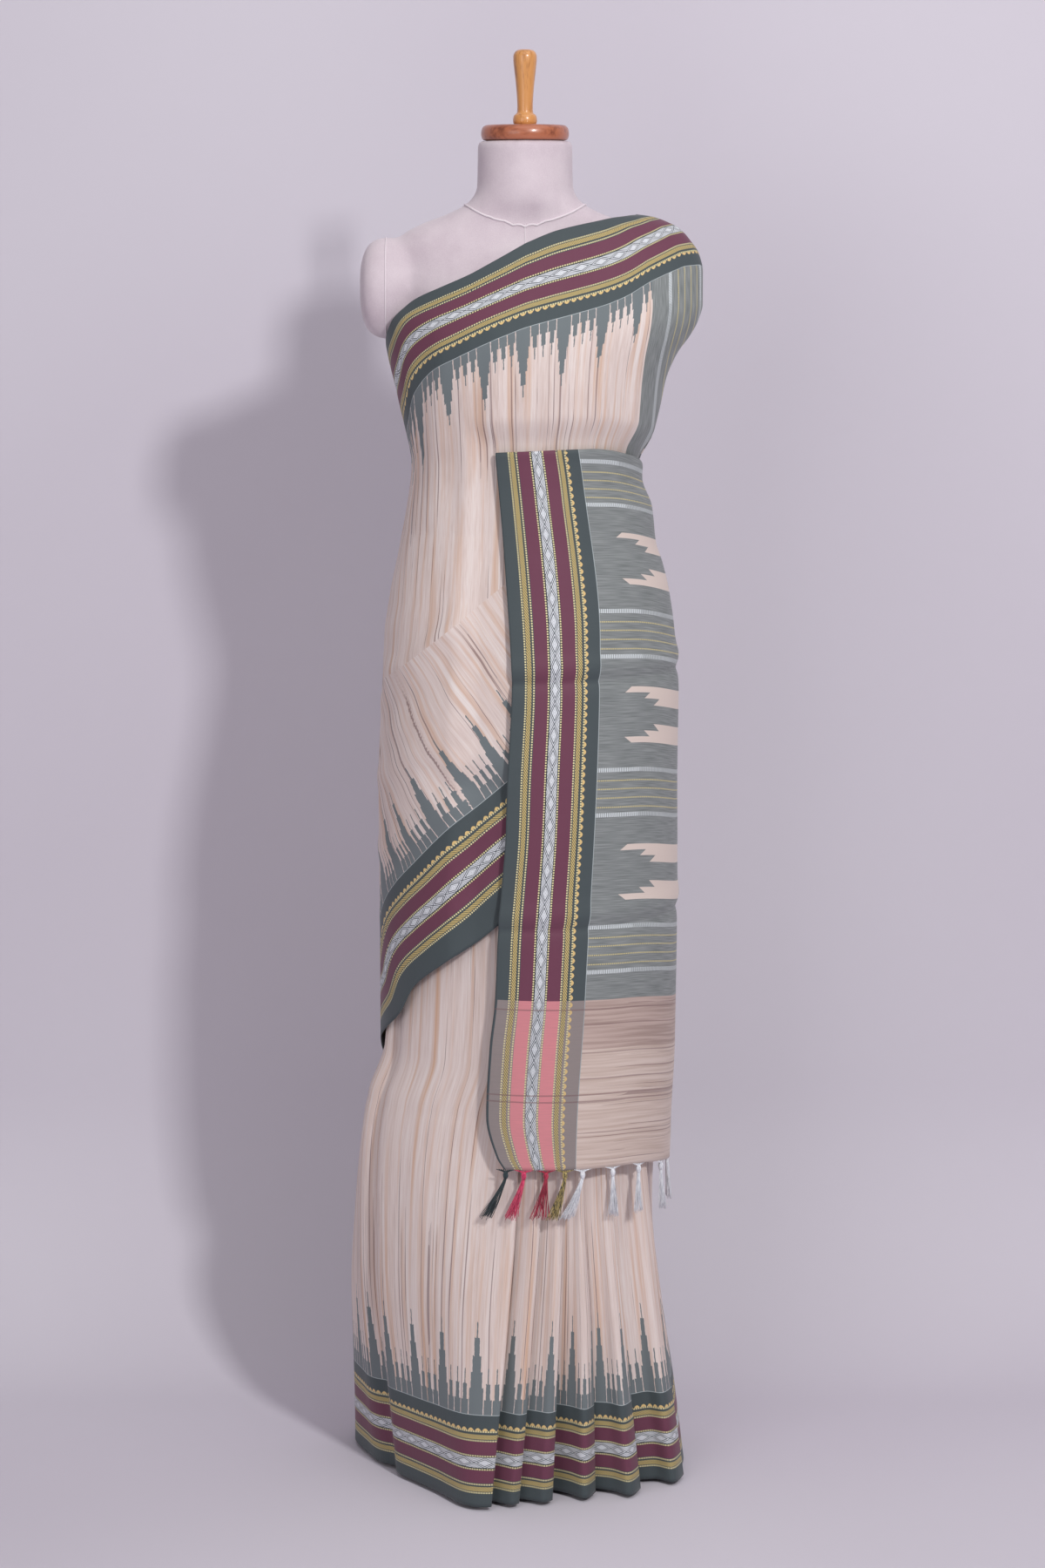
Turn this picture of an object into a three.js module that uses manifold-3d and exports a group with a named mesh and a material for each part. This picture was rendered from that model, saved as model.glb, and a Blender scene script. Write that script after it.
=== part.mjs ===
// A saree worn on a dress form with its stand. Millimetres, +Z up, origin under the middle of the base.
// The viewer stands at -Y. Angles round the figure are in degrees: 0 front, 90 right, 180 back, 270 left.
import * as THREE from 'three';
import { mergeVertices } from 'three/addons/utils/BufferGeometryUtils.js';
import Module from 'manifold-3d';

const wasm = await Module();
wasm.setup();

// Driving sizes
const CLOTH = 1.2;            // wall of every cloth piece
const SEAM_GAP = 0.35;        // between two stretches of the same cloth
const PALLU_SEAM_TURN = 0.25; // the gap beside the front panel, in degrees round the figure
const SEAT_GAP = 0.3;         // between stacked hard pieces
const HEM_Z = 5;              // skirt hem above the floor
const WAIST_Z = 1190;         // top of the tucked skirt
const PLEAT_OVERLAP = 10;     // how far a pleat's edge covers the next one
const RETURN_DEPTH = 5;       // from a pleat's face to its folded back
const TURN_WIDTH = 3;         // how far a fold bends past its end
const FORM_BOTTOM_Z = 700;
const FORM_TOP_Z = 1614;
const BASE_RADIUS = 128;
const BASE_HEIGHT = 20;
const POLE_RADIUS = 16;
const PANEL_UNDERLAY = 11;    // the chest drape under the front panel
const SECOND_ROUND_DEPTH = 18; // the second round under the pallu
const LAYER_GAP = 5;          // between two rounds of the skirt
const TASSEL_DROP = 62;

const table = (columns, rows) => rows.map((row) => Object.fromEntries(columns.map((name, i) => [name, row[i]])));

// Outer cloth at each height: half widths to the left and right, depths to the front and back
const OUTER = table(['z', 'left', 'right', 'front', 'back'], [
  [0, 176, 211, 190, 194],
  [109, 176, 200, 182, 190],
  [226, 176, 182, 178, 182],
  [312, 176, 173, 175, 174],
  [383, 176, 177, 174, 168],
  [450, 176, 180, 172, 163],
  [531, 176, 184, 169, 160],
  [680, 176, 185, 166, 156],
  [845, 177, 185, 161, 152],
  [957, 172, 186, 154, 149],
  [1034, 168, 180, 147, 140],
  [1082, 161, 173, 139, 128],
  [1115, 154, 165, 134, 117],
  [1139, 149, 157, 130, 111],
  [1182, 141, 152, 125, 105],
  [1217, 136, 140, 122, 102],
  [1234, 135, 141, 122, 102],
  [1267, 141, 153, 125, 106],
  [1306, 150, 162, 130, 110],
  [1330, 155, 167, 132, 111],
  [1360, 162, 179, 131, 112],
  [1386, 167, 196, 127, 110],
  [1404, 169, 206, 121, 108],
  [1423, 163, 211, 111, 104],
  [1460, 151, 211, 88, 90],
  [1482, 141, 206, 77, 82],
  [1497, 131, 196, 69, 72],
  [1511, 120, 183, 59, 62],
  [1518, 110, 170, 52, 54],
  [1525, 100, 150, 42, 44],
  [1528, 90, 128, 32, 34],
]);

// First round of the skirt, under the others
const SKIRT = table(['z', 'left', 'right', 'front', 'back'], [
  [0, 212, 176, 190, 162],
  [100, 218, 168, 172, 160],
  [200, 220, 156, 160, 155],
  [312, 210, 146, 152, 149],
  [413, 199, 146, 148, 145],
  [468, 190, 147, 146, 142],
  [531, 169, 150, 144, 138],
  [680, 163, 154, 140, 134],
  [845, 163, 157, 134, 129],
  [957, 159, 156, 128, 126],
  [1034, 155, 147, 118, 115],
  [1082, 148, 139, 110, 104],
  [1115, 140, 131, 104, 95],
  [1150, 126, 120, 96, 84],
  [1190, 109.4, 109.4, 85.4, 72.4],
]);

// Sections of the dress form
const FORM = table(['z', 'half', 'front', 'back'], [
  [700, 126, 92, 94],
  [708, 132, 98, 100],
  [780, 141, 106, 110],
  [880, 147, 110, 116],
  [960, 143, 106, 112],
  [1040, 131, 96, 98],
  [1120, 116, 87, 77],
  [1190, 108, 84, 71],
  [1240, 109, 87, 73],
  [1300, 122, 102, 86],
  [1340, 133, 110, 92],
  [1380, 142, 105, 94],
  [1420, 150, 92, 90],
  [1460, 157, 71, 78],
  [1488, 158, 57, 62],
  [1504, 146, 49, 52],
  [1518, 120, 45, 48],
  [1530, 88, 47, 48],
  [1543, 66, 53, 52],
  [1558, 57, 55, 55],
  [1614, 56, 55, 55],
]);

// Arm stub: sections along its own axis, from inside the torso outward
const ARM = table(['x', 'height', 'depth'], [
  [112, 50, 36],
  [150, 59, 42],
  [168, 60, 43],
  [182, 55, 40],
  [191, 43, 32],
  [196, 24, 18],
]);
const ARM_Z = 1441;

// Pleat edges across the front at each height, the outer panel's edge first
const PLEAT_EDGES = table(['z', 'panel', 'first', 'second', 'third', 'fourth', 'fifth', 'depth', 'half'], [
  [5, -41, -8, 32, 84, 139, 193, 190, 205],
  [190, -25, 7, 39, 80, 119, 168, 164, 186],
  [360, -12, 18, 44, 71, 104, 149, 153, 172],
  [620, -2, 22, 44, 68, 95, 126, 147, 168],
  [900, 4, 22, 41, 61, 82, 104, 134, 160],
  [1060, 6, 21, 37, 54, 71, 89, 116, 146],
  [1190, 6, 20, 36, 52, 68, 84, 100, 124],
]);
const PLEATS = ['panel', 'first', 'second', 'third', 'fourth', 'fifth'];

// How each edge stands at the hem: its depth, the step in to the next start, the belly of its face
const PLEAT_HEM = table(['edge', 'y', 'step', 'belly'], [
  ['panel', -202, 22, 0],
  ['first', -189, 17, 3],
  ['second', -177, 38, 4],
  ['third', -148, 14, 24],
  ['fourth', -134, 34, 25],
  ['fifth', -82, 12, 26],
]);
const PLEAT_HEM_TOP = 360;    // the hem's own shape fades out at this height
const STEP_ABOVE = 10;
const BELLY_ABOVE = 2;
const BELLY_PEAK = 2.4;       // the belly sits towards the pleat's edge

// First round at the hem, from beside the panel's edge round the left and back to its hidden start
const FIRST_ROUND_HEM = table(['angle', 'x', 'y'], [
  [-20, -73, -193],
  [-36, -106, -143],
  [-48, -131, -108],
  [-62, -156, -73],
  [-76, -176, -22],
  [-88, -199, 17],
  [-100, -213, 62],
  [-114, -203, 106],
  [-128, -166, 139],
  [-142, -118, 157],
  [-157, -62, 164],
  [-173, -4, 165],
  [-189, 54, 159],
  [-204, 104, 142],
  [-219, 140, 114],
  [-234, 162, 79],
  [-249, 173, 38],
  [-263, 173, -4],
  [-276, 167, -34],
]);

// Edges of the stretches, as heights at angles round the figure
const UPPER_SELVEDGE = table(['angle', 'z'], [
  [-90, 1366], [-80, 1384], [-71, 1398], [-62, 1415], [-54, 1428], [-39, 1443], [-26, 1457],
  [-14, 1474], [-2, 1491], [12, 1509], [27, 1518], [44, 1524], [65, 1526.5], [92, 1527.5],
]);
const LOWER_SELVEDGE = table(['angle', 'z'], [
  [-90, 531], [-74, 556], [-62, 580], [-53, 617], [-39, 650], [-26, 680], [-9, 725],
  [12, 778], [33, 830], [54, 880], [92, 935],
]);
const SECOND_ROUND_TOP = table(['angle', 'z'], [
  [20, 1190], [150, 1192], [180, 1200], [200, 1232], [220, 1276], [240, 1320], [255, 1345], [270, 1366],
]);
const SECOND_ROUND_HEM = table(['angle', 'z'], [
  [20, 5], [80, 5], [100, 22], [125, 55], [150, 105], [180, 240], [210, 360], [240, 460], [270, 531],
]);

// Pallu hanging down the back: its free selvedge and the seam beside the front panel
const PALLU_FREE = table(['z', 'angle'], [
  [385, 184], [1000, 183], [1180, 180], [1280, 174], [1360, 166], [1420, 158], [1460, 150],
]);
const SIDE_SEAM = 105;        // where the back of the pallu meets its front panel
const SHOULDER_SEAM = 92;     // where the pallu leaves the chest drape, over the shoulder
const PALLU_TOP_END = 150;
const PANEL_START = -14;
const PALLU_SEAM = table(['z', 'angle'], [
  [385, SIDE_SEAM], [1225, SIDE_SEAM], [1285, SHOULDER_SEAM], [1528, SHOULDER_SEAM],
]);
const PALLU_TOP = table(['angle', 'z'], [
  [92, 1527.5], [100, 1525], [110, 1519], [122, 1508], [136, 1488], [150, 1460],
]);
const BACK_FOLDS = table(['angle', 'width', 'depth'], [
  [124, 7, 9], [138, 5, 8], [151, 6, 9], [163, 5, 8], [174, 5, 7],
]);

// Front panel: its free edge and its folded top
const PANEL_EDGE = table(['z', 'x'], [
  [409, -25], [424, -34], [471, -46], [552, -42], [611, -35.5], [694, -32], [742, -28], [804, -23],
  [867, -21], [985, -15.5], [1030, -17.5], [1090, -21.5], [1164, -27], [1253, -35],
]);
const PANEL_TOP = table(['angle', 'z'], [[-16, 1252], [-8, 1253], [32, 1256], [60, 1247], [90, 1231], [105, 1208]]);
const PANEL_BOTTOM = table(['angle', 'z'], [[-12, 409], [0, 408], [40, 404], [90, 386], [105, 385], [184, 385]]);
const PANEL_RETURN = 62;      // how far the folded top comes down behind

// Knots along the pallu's end, as angles round the figure
const TASSELS = table(['angle', 'colour'], [
  [-7.5, 0x36454a], [-0.5, 0xe23a63], [8, 0xa82840], [15.4, 0xc9b373],
  [22.6, 0xe8ebf0], [36, 0xe8ebf0], [50, 0xe8ebf0], [68, 0xe8ebf0],
  [98, 0xe8ebf0], [122, 0xe8ebf0], [144, 0xe8ebf0], [167, 0xe8ebf0],
]);

const lerp = (a, b, t) => a + (b - a) * t;
const clamp01 = (t) => Math.min(1, Math.max(0, t));
const smooth = (from, to, value) => {
  const t = clamp01((value - from) / (to - from));
  return t * t * (3 - 2 * t);
};
const radians = (degrees) => degrees * Math.PI / 180;

// One column of a table at a value of its key column
function at(rows, key, value, name) {
  const last = rows.length - 1;
  if (value <= rows[0][key]) return rows[0][name];
  if (value >= rows[last][key]) return rows[last][name];
  const next = rows.findIndex((row) => row[key] >= value);
  const before = rows[next - 1];
  const after = rows[next];
  return lerp(before[name], after[name], (value - before[key]) / (after[key] - before[key]));
}

// A point on an oval section whose four quarters have their own widths and depths
function onSection(rows, z, angle, inset = 0) {
  const side = Math.sin(radians(angle));
  const ahead = Math.cos(radians(angle));
  const half = at(rows, 'z', z, side < 0 ? 'left' : 'right') - inset;
  const depth = at(rows, 'z', z, ahead > 0 ? 'front' : 'back') - inset;
  return new THREE.Vector3(half * side, -depth * ahead, z);
}

// Faces of a closed body, turned outward
function bodyFrom(points, faces) {
  let volume = 0;
  for (const [a, b, c] of faces) volume += points[a].dot(points[b].clone().cross(points[c]));
  const geometry = new THREE.BufferGeometry();
  geometry.setAttribute('position', new THREE.Float32BufferAttribute(points.flatMap((p) => p.toArray()), 3));
  geometry.setIndex(faces.flatMap(([a, b, c]) => (volume < 0 ? [a, c, b] : [a, b, c])));
  return geometry;
}

// A sheet's normal at one point of its grid. At a seam it stays in the upright plane of the seam.
function sheetNormal(grid, row, column, seams) {
  const rows = grid.length;
  const columns = grid[0].length;
  const across = grid[row][Math.min(column + 1, columns - 1)].clone().sub(grid[row][Math.max(column - 1, 0)]);
  const along = grid[Math.min(row + 1, rows - 1)][column].clone().sub(grid[Math.max(row - 1, 0)][column]);
  const normal = across.cross(along).normalize();
  const atSeam = (seams.first && column === 0) || (seams.last && column === columns - 1);
  if (atSeam) {
    const here = grid[row][column];
    const sideways = new THREE.Vector3(-here.y, here.x, 0).normalize();
    normal.addScaledVector(sideways, -normal.dot(sideways)).normalize();
  }
  return normal;
}

// A wall of even thickness about a grid of points on its middle surface
function wall(grid, seams = {}) {
  const rows = grid.length;
  const columns = grid[0].length;
  const sides = [[], []];
  for (let row = 0; row < rows; row++) {
    for (let column = 0; column < columns; column++) {
      const normal = sheetNormal(grid, row, column, seams);
      sides[0].push(grid[row][column].clone().addScaledVector(normal, CLOTH / 2));
      sides[1].push(grid[row][column].clone().addScaledVector(normal, -CLOTH / 2));
    }
  }
  const count = rows * columns;
  const index = (row, column) => row * columns + column;
  const faces = [];
  const quad = (a, b, c, d) => faces.push([a, b, c], [a, c, d]);
  for (let row = 0; row < rows - 1; row++) {
    for (let column = 0; column < columns - 1; column++) {
      const corners = [index(row, column), index(row, column + 1), index(row + 1, column + 1), index(row + 1, column)];
      const [a, b, c, d] = corners.map((corner) => corner + count);
      quad(...corners);
      quad(a, d, c, b);
    }
  }
  const edge = (a, b) => quad(b, a, a + count, b + count);
  for (let column = 0; column < columns - 1; column++) {
    edge(index(0, column), index(0, column + 1));
    edge(index(rows - 1, column + 1), index(rows - 1, column));
  }
  for (let row = 0; row < rows - 1; row++) {
    edge(index(row + 1, 0), index(row, 0));
    edge(index(row, columns - 1), index(row + 1, columns - 1));
  }
  return bodyFrom([...sides[0], ...sides[1]], faces);
}

// A closed body through rings, each end closed by a fan about its middle, or by one triangle
function loft(rings) {
  const size = rings[0].length;
  const points = rings.flat();
  const faces = [];
  for (let ring = 0; ring < rings.length - 1; ring++) {
    for (let i = 0; i < size; i++) {
      const next = (i + 1) % size;
      const a = ring * size + i;
      const b = ring * size + next;
      faces.push([a, b, b + size], [a, b + size, a + size]);
    }
  }
  const middle = (ring) => ring.reduce((sum, p) => sum.add(p), new THREE.Vector3()).divideScalar(size);
  if (size === 3) {
    const end = (rings.length - 1) * size;
    faces.push([0, 2, 1], [end, end + 1, end + 2]);
    return bodyFrom(points, faces);
  }
  const first = points.push(middle(rings[0])) - 1;
  const last = points.push(middle(rings[rings.length - 1])) - 1;
  const lastRing = (rings.length - 1) * size;
  for (let i = 0; i < size; i++) {
    const next = (i + 1) % size;
    faces.push([first, next, i], [last, lastRing + i, lastRing + next]);
  }
  return bodyFrom(points, faces);
}

function solidOf(geometry) {
  const plain = geometry.clone();
  plain.deleteAttribute('normal');
  plain.deleteAttribute('uv');
  const merged = mergeVertices(plain, 1e-4);
  return new wasm.Manifold(new wasm.Mesh({
    numProp: 3,
    vertProperties: new Float32Array(merged.attributes.position.array),
    triVerts: new Uint32Array(merged.index.array),
  }));
}

function geometryOf(solid) {
  const mesh = solid.getMesh();
  const geometry = new THREE.BufferGeometry();
  geometry.setAttribute('position', new THREE.Float32BufferAttribute(mesh.vertProperties, 3));
  geometry.setIndex([...mesh.triVerts]);
  return geometry;
}

const joined = (geometries) => geometryOf(geometries.map(solidOf).reduce((sum, solid) => sum.add(solid)));

// The dress form: torso, neck and two arm stubs as one covered body
function formSection(z, count) {
  const row = { left: at(FORM, 'z', z, 'half'), front: at(FORM, 'z', z, 'front'), back: at(FORM, 'z', z, 'back') };
  return Array.from({ length: count }, (_, i) => {
    const turn = 2 * Math.PI * i / count;
    const depth = Math.cos(turn) > 0 ? row.front : row.back;
    return new THREE.Vector3(row.left * Math.sin(turn), -depth * Math.cos(turn), z);
  });
}

function dressForm() {
  const SIDES = 36;
  const torso = loft(FORM.map((row) => formSection(row.z, SIDES)));
  const arm = (side) => loft(ARM.map((row) => Array.from({ length: 20 }, (_, i) => {
    const turn = 2 * Math.PI * i / 20;
    return new THREE.Vector3(side * row.x, row.depth * Math.cos(turn), ARM_Z + row.height * Math.sin(turn));
  })));
  return joined([torso, arm(-1), arm(1)]);
}

const turned = (profile, segments) => {
  const geometry = new THREE.LatheGeometry(profile.map(([r, z]) => new THREE.Vector2(r, z)), segments);
  return geometry.rotateX(Math.PI / 2);
};

const DISC_Z = FORM_TOP_Z + SEAT_GAP;
const DISC_HEIGHT = 18;
const HANDLE_Z = DISC_Z + DISC_HEIGHT + SEAT_GAP;

function neckCapDisc() {
  const round = [0, 45, 90].map((a) => [47 + 5 * Math.cos(radians(a)), DISC_HEIGHT - 7 + 7 * Math.sin(radians(a))]);
  const profile = [[0, 0], [48, 0], [51, 2], [52, 5], ...round, [0, DISC_HEIGHT]];
  return turned(profile.map(([r, z]) => [r, DISC_Z + z]), 36);
}

function neckCapHandle() {
  const profile = [
    [0, 0], [12, 0], [14, 3], [14.2, 7], [13, 11], [9.6, 14], [9.2, 20], [9.8, 34], [11.2, 50],
    [13, 66], [13.9, 76], [13.4, 82], [10.6, 86], [6, 87.6], [0, 88],
  ];
  return turned(profile.map(([r, z]) => [r, HANDLE_Z + z]), 20);
}

function standPole() {
  const bottom = BASE_HEIGHT + 8 + SEAT_GAP;
  const top = FORM_BOTTOM_Z - SEAT_GAP;
  return turned([[0, bottom], [POLE_RADIUS, bottom], [POLE_RADIUS, top], [0, top]], 24);
}

function standBase() {
  const profile = [
    [0, 0], [BASE_RADIUS, 0], [BASE_RADIUS, 8], [BASE_RADIUS - 4, 13], [60, BASE_HEIGHT], [26, BASE_HEIGHT],
    [24, BASE_HEIGHT + 8], [0, BASE_HEIGHT + 8],
  ];
  return turned(profile, 40);
}

// Knife pleats. One row's edges, in order across the front.
function pleatEdges(z) {
  const hem = 1 - clamp01((z - HEM_Z) / (PLEAT_HEM_TOP - HEM_Z));
  const depth = at(PLEAT_EDGES, 'z', z, 'depth');
  const half = at(PLEAT_EDGES, 'z', z, 'half');
  let before = at(PLEAT_EDGES, 'z', z, 'panel') - 30;
  return PLEATS.map((name, i) => {
    const x = at(PLEAT_EDGES, 'z', z, name);
    const above = -depth * Math.sqrt(1 - Math.min(0.99, (x / half) ** 2));
    const overlap = Math.min(PLEAT_OVERLAP, 0.45 * (x - before));
    before = x;
    return {
      x,
      y: lerp(above, PLEAT_HEM[i].y, hem),
      step: lerp(STEP_ABOVE, PLEAT_HEM[i].step, hem),
      belly: lerp(BELLY_ABOVE, PLEAT_HEM[i].belly, hem),
      overlap,
    };
  });
}

// The rounded tip of a pleat and its folded back, which ends under the pleat's face
function pleatFold(edge) {
  const reach = Math.min(2, edge.overlap / 4);
  return [
    [edge.x, edge.y],
    [edge.x + 0.4, edge.y + RETURN_DEPTH / 2],
    [edge.x - reach, edge.y + RETURN_DEPTH],
    [edge.x - edge.overlap, edge.y + RETURN_DEPTH],
  ];
}

// The bend from a folded back into the next pleat's start
function pleatTurn(edge, gap) {
  const x = edge.x - edge.overlap;
  const from = edge.y + RETURN_DEPTH;
  const to = edge.y + edge.step;
  return [
    [x - gap, from],
    [x - gap - 1, from],
    [x - TURN_WIDTH, lerp(from, to, 0.3)],
    [x - TURN_WIDTH, lerp(from, to, 0.75)],
    [x, to],
  ];
}

// A pleat's face: level until it leaves the cover of the edge before it, then out to its own edge
function pleatFace(previous, edge) {
  const shownX = previous.x + 1.2;
  const startY = previous.y + previous.step;
  const stations = [0, 0.4, 0.76];
  return stations.map((t) => {
    const belly = edge.belly * Math.sin(Math.PI * t ** BELLY_PEAK);
    return [lerp(shownX, edge.x, t), lerp(startY, edge.y, Math.sqrt(t)) - belly];
  });
}

const skirtHeights = [HEM_Z, 120, 240, 350, 440, 500, 545, 700, 880, 1040, WAIST_Z];
const rowFractions = skirtHeights.map((z) => (z - HEM_Z) / (WAIST_Z - HEM_Z));

function skirtPleats() {
  return wall(skirtHeights.map((z) => {
    const edges = pleatEdges(z);
    const path = [];
    for (let i = 1; i < edges.length; i++) {
      path.push(...pleatTurn(edges[i - 1], SEAM_GAP).slice(i === 1 ? 0 : 2));
      path.push(...pleatFace(edges[i - 1], edges[i]));
      path.push(...pleatFold(edges[i]));
    }
    return path.map(([x, y]) => new THREE.Vector3(x, y, z));
  }));
}

// The second round presses the first one in wherever it covers it
function pressedIn(point, angle, z) {
  const turn = angle + 360;
  if (turn > 270) return point;
  const covered = smooth(-64, -16, z - at(SECOND_ROUND_HEM, 'angle', turn, 'z'));
  const outer = onSection(OUTER, z, turn, secondRoundInset(turn) + LAYER_GAP);
  const scale = Math.min(1, Math.hypot(outer.x, outer.y) / Math.hypot(...point));
  return point.map((v) => v * lerp(1, scale, covered));
}

function skirtWrap() {
  return wall(skirtHeights.map((z) => {
    const hem = 1 - clamp01((z - HEM_Z) / (PLEAT_HEM_TOP + 60 - HEM_Z));
    const edge = pleatEdges(z)[0];
    const round = FIRST_ROUND_HEM.map((row) => {
      const above = onSection(SKIRT, z, row.angle);
      return pressedIn([lerp(above.x, row.x, hem), lerp(above.y, row.y, hem)], row.angle, z);
    });
    const lead = [edge.x - edge.overlap - TURN_WIDTH - 3, edge.y];
    const path = [...pleatFold(edge).reverse(), lead, ...round];
    return path.map(([x, y]) => new THREE.Vector3(x, y, z));
  }));
}

// Second round: from behind the last pleat, round the right side and back to the left
function secondRoundInset(angle) {
  return SECOND_ROUND_DEPTH * (1 - smooth(190, 226, angle));
}

function hipWrap() {
  const COLUMNS = 19;
  const grid = rowFractions.map((t) => {
    const startZ = lerp(HEM_Z, WAIST_Z, t);
    const edge = pleatEdges(startZ)[PLEATS.length - 1];
    const bend = pleatTurn(edge, SEAM_GAP);
    const [startX, startY] = bend[bend.length - 1];
    const half = at(OUTER, 'z', startZ, 'right') - SECOND_ROUND_DEPTH;
    const depth = at(OUTER, 'z', startZ, 'front') - SECOND_ROUND_DEPTH;
    const startAngle = Math.atan2(startX / half, -startY / depth) * 180 / Math.PI;
    const startScale = Math.hypot(startX / half, startY / depth);
    const row = bend.map(([x, y]) => new THREE.Vector3(x, y, startZ));
    for (let column = 1; column <= COLUMNS; column++) {
      const c = column / COLUMNS;
      const angle = lerp(startAngle, 270, c);
      const low = at(SECOND_ROUND_HEM, 'angle', angle, 'z');
      const high = at(SECOND_ROUND_TOP, 'angle', angle, 'z');
      const point = onSection(OUTER, lerp(low, high, t), angle, secondRoundInset(angle));
      const scale = lerp(startScale, 1, smooth(0, 0.22, c));
      row.push(new THREE.Vector3(point.x * scale, point.y * scale, point.z));
    }
    return row;
  });
  return wall(grid, { last: true });
}

// The drape across the front, up to the right shoulder
function chestInset(angle, z) {
  return PANEL_UNDERLAY * smooth(-32, -19, angle) * (1 - smooth(1258, 1296, z));
}

// Soft hollows and ridges of the front drape, in millimetres outward
function chestCreases(angle, z) {
  const x = 172 * Math.sin(radians(angle));
  const kneeLine = 1118 + 0.82 * x;
  const open = 1 - smooth(-34, -22, angle);
  const left = smooth(-88, -74, angle);
  const knee = 5 * Math.exp(-(((z - kneeLine) / 16) ** 2)) - 3.5 * Math.exp(-(((z - kneeLine + 34) / 24) ** 2));
  const trough = -6 * Math.exp(-(((z - 862) / 20) ** 2)) * smooth(-130, -95, x) * (1 - smooth(-40, -15, x));
  return (knee * open + trough) * left;
}

function chestDrape() {
  const COLUMNS = 26;
  const ROWS = 17;
  const grid = [];
  for (let row = 0; row <= ROWS; row++) {
    const line = [];
    for (let column = 0; column <= COLUMNS; column++) {
      const c = column / COLUMNS;
      const upright = lerp(-90, SHOULDER_SEAM, c);
      const low = at(LOWER_SELVEDGE, 'angle', upright, 'z');
      const high = at(UPPER_SELVEDGE, 'angle', upright, 'z');
      const z = lerp(low, high, 1 - (1 - row / ROWS) ** 1.25);
      const end = lerp(SIDE_SEAM + 7, SHOULDER_SEAM - 0.1, smooth(1222, 1290, z));
      const angle = lerp(-90 + SEAM_GAP / 3, end, c);
      line.push(onSection(OUTER, z, angle, chestInset(angle, z) - chestCreases(angle, z)));
    }
    grid.push(line);
  }
  return wall(grid, { first: true, last: true });
}

// Pallu down the back, with upright folds
function backFolds(angle, z) {
  const grown = 1 - 0.75 * smooth(1180, 1500, z);
  return grown * BACK_FOLDS.reduce((sum, fold) => {
    return sum + fold.depth * Math.exp(-(((angle - fold.angle) / (fold.width / 1.6)) ** 2));
  }, 0);
}

function palluBack() {
  const COLUMNS = 22;
  const ROWS = 12;
  const grid = [];
  for (let row = 0; row <= ROWS; row++) {
    const line = [];
    for (let column = 0; column <= COLUMNS; column++) {
      const c = column / COLUMNS;
      const topAngle = lerp(SHOULDER_SEAM, PALLU_TOP_END, c);
      const bottom = at(PANEL_BOTTOM, 'angle', SIDE_SEAM, 'z');
      const z = lerp(bottom, at(PALLU_TOP, 'angle', topAngle, 'z'), 1 - (1 - row / ROWS) ** 1.5);
      const seam = at(PALLU_SEAM, 'z', z, 'angle') + PALLU_SEAM_TURN;
      const angle = lerp(seam, at(PALLU_FREE, 'z', z, 'angle'), c);
      line.push(onSection(OUTER, z, angle, backFolds(angle, z)));
    }
    grid.push(line);
  }
  return wall(grid, { first: true });
}

const panelEdgeAngle = (z) => Math.asin(at(PANEL_EDGE, 'z', z, 'x') / at(OUTER, 'z', z, 'left')) * 180 / Math.PI;

// Front panel of the pallu's end, its top folded inward
function palluEnd() {
  const COLUMNS = 16;
  const ROWS = 13;
  const grid = [];
  const rows = Array.from({ length: ROWS + 1 }, (_, i) => ({ rise: i / ROWS, inset: 0, drop: 2 }));
  rows[ROWS].drop = 1.8;
  rows[ROWS].inset = 0.5;
  rows.push({ rise: 1, inset: 2.4, drop: 0.6 }, { rise: 1, inset: 4.3, drop: 1.8 }, { rise: 1, inset: 4.8, drop: PANEL_RETURN });
  for (const { rise, inset, drop } of rows) {
    const line = [];
    for (let column = 0; column <= COLUMNS; column++) {
      const c = column / COLUMNS;
      const upright = lerp(PANEL_START, SIDE_SEAM, c);
      const bottom = at(PANEL_BOTTOM, 'angle', upright, 'z');
      const top = at(PANEL_TOP, 'angle', upright, 'z');
      const z = lerp(bottom, top, rise) - (rise === 1 ? drop : 0);
      line.push(onSection(OUTER, z, lerp(panelEdgeAngle(z), SIDE_SEAM, c), inset));
    }
    grid.push(line);
  }
  return wall(grid, { last: true });
}

// The pallu's lower edge at an angle round the figure
function palluUnderside(angle) {
  if (angle > SIDE_SEAM) {
    const z = at(PANEL_BOTTOM, 'angle', SIDE_SEAM, 'z');
    return onSection(OUTER, z, angle, backFolds(angle, z));
  }
  const edge = panelEdgeAngle(PANEL_EDGE[0].z);
  const z = at(PANEL_BOTTOM, 'angle', lerp(PANEL_START, SIDE_SEAM, (angle - edge) / (SIDE_SEAM - edge)), 'z');
  return onSection(OUTER, z, angle);
}

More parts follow.
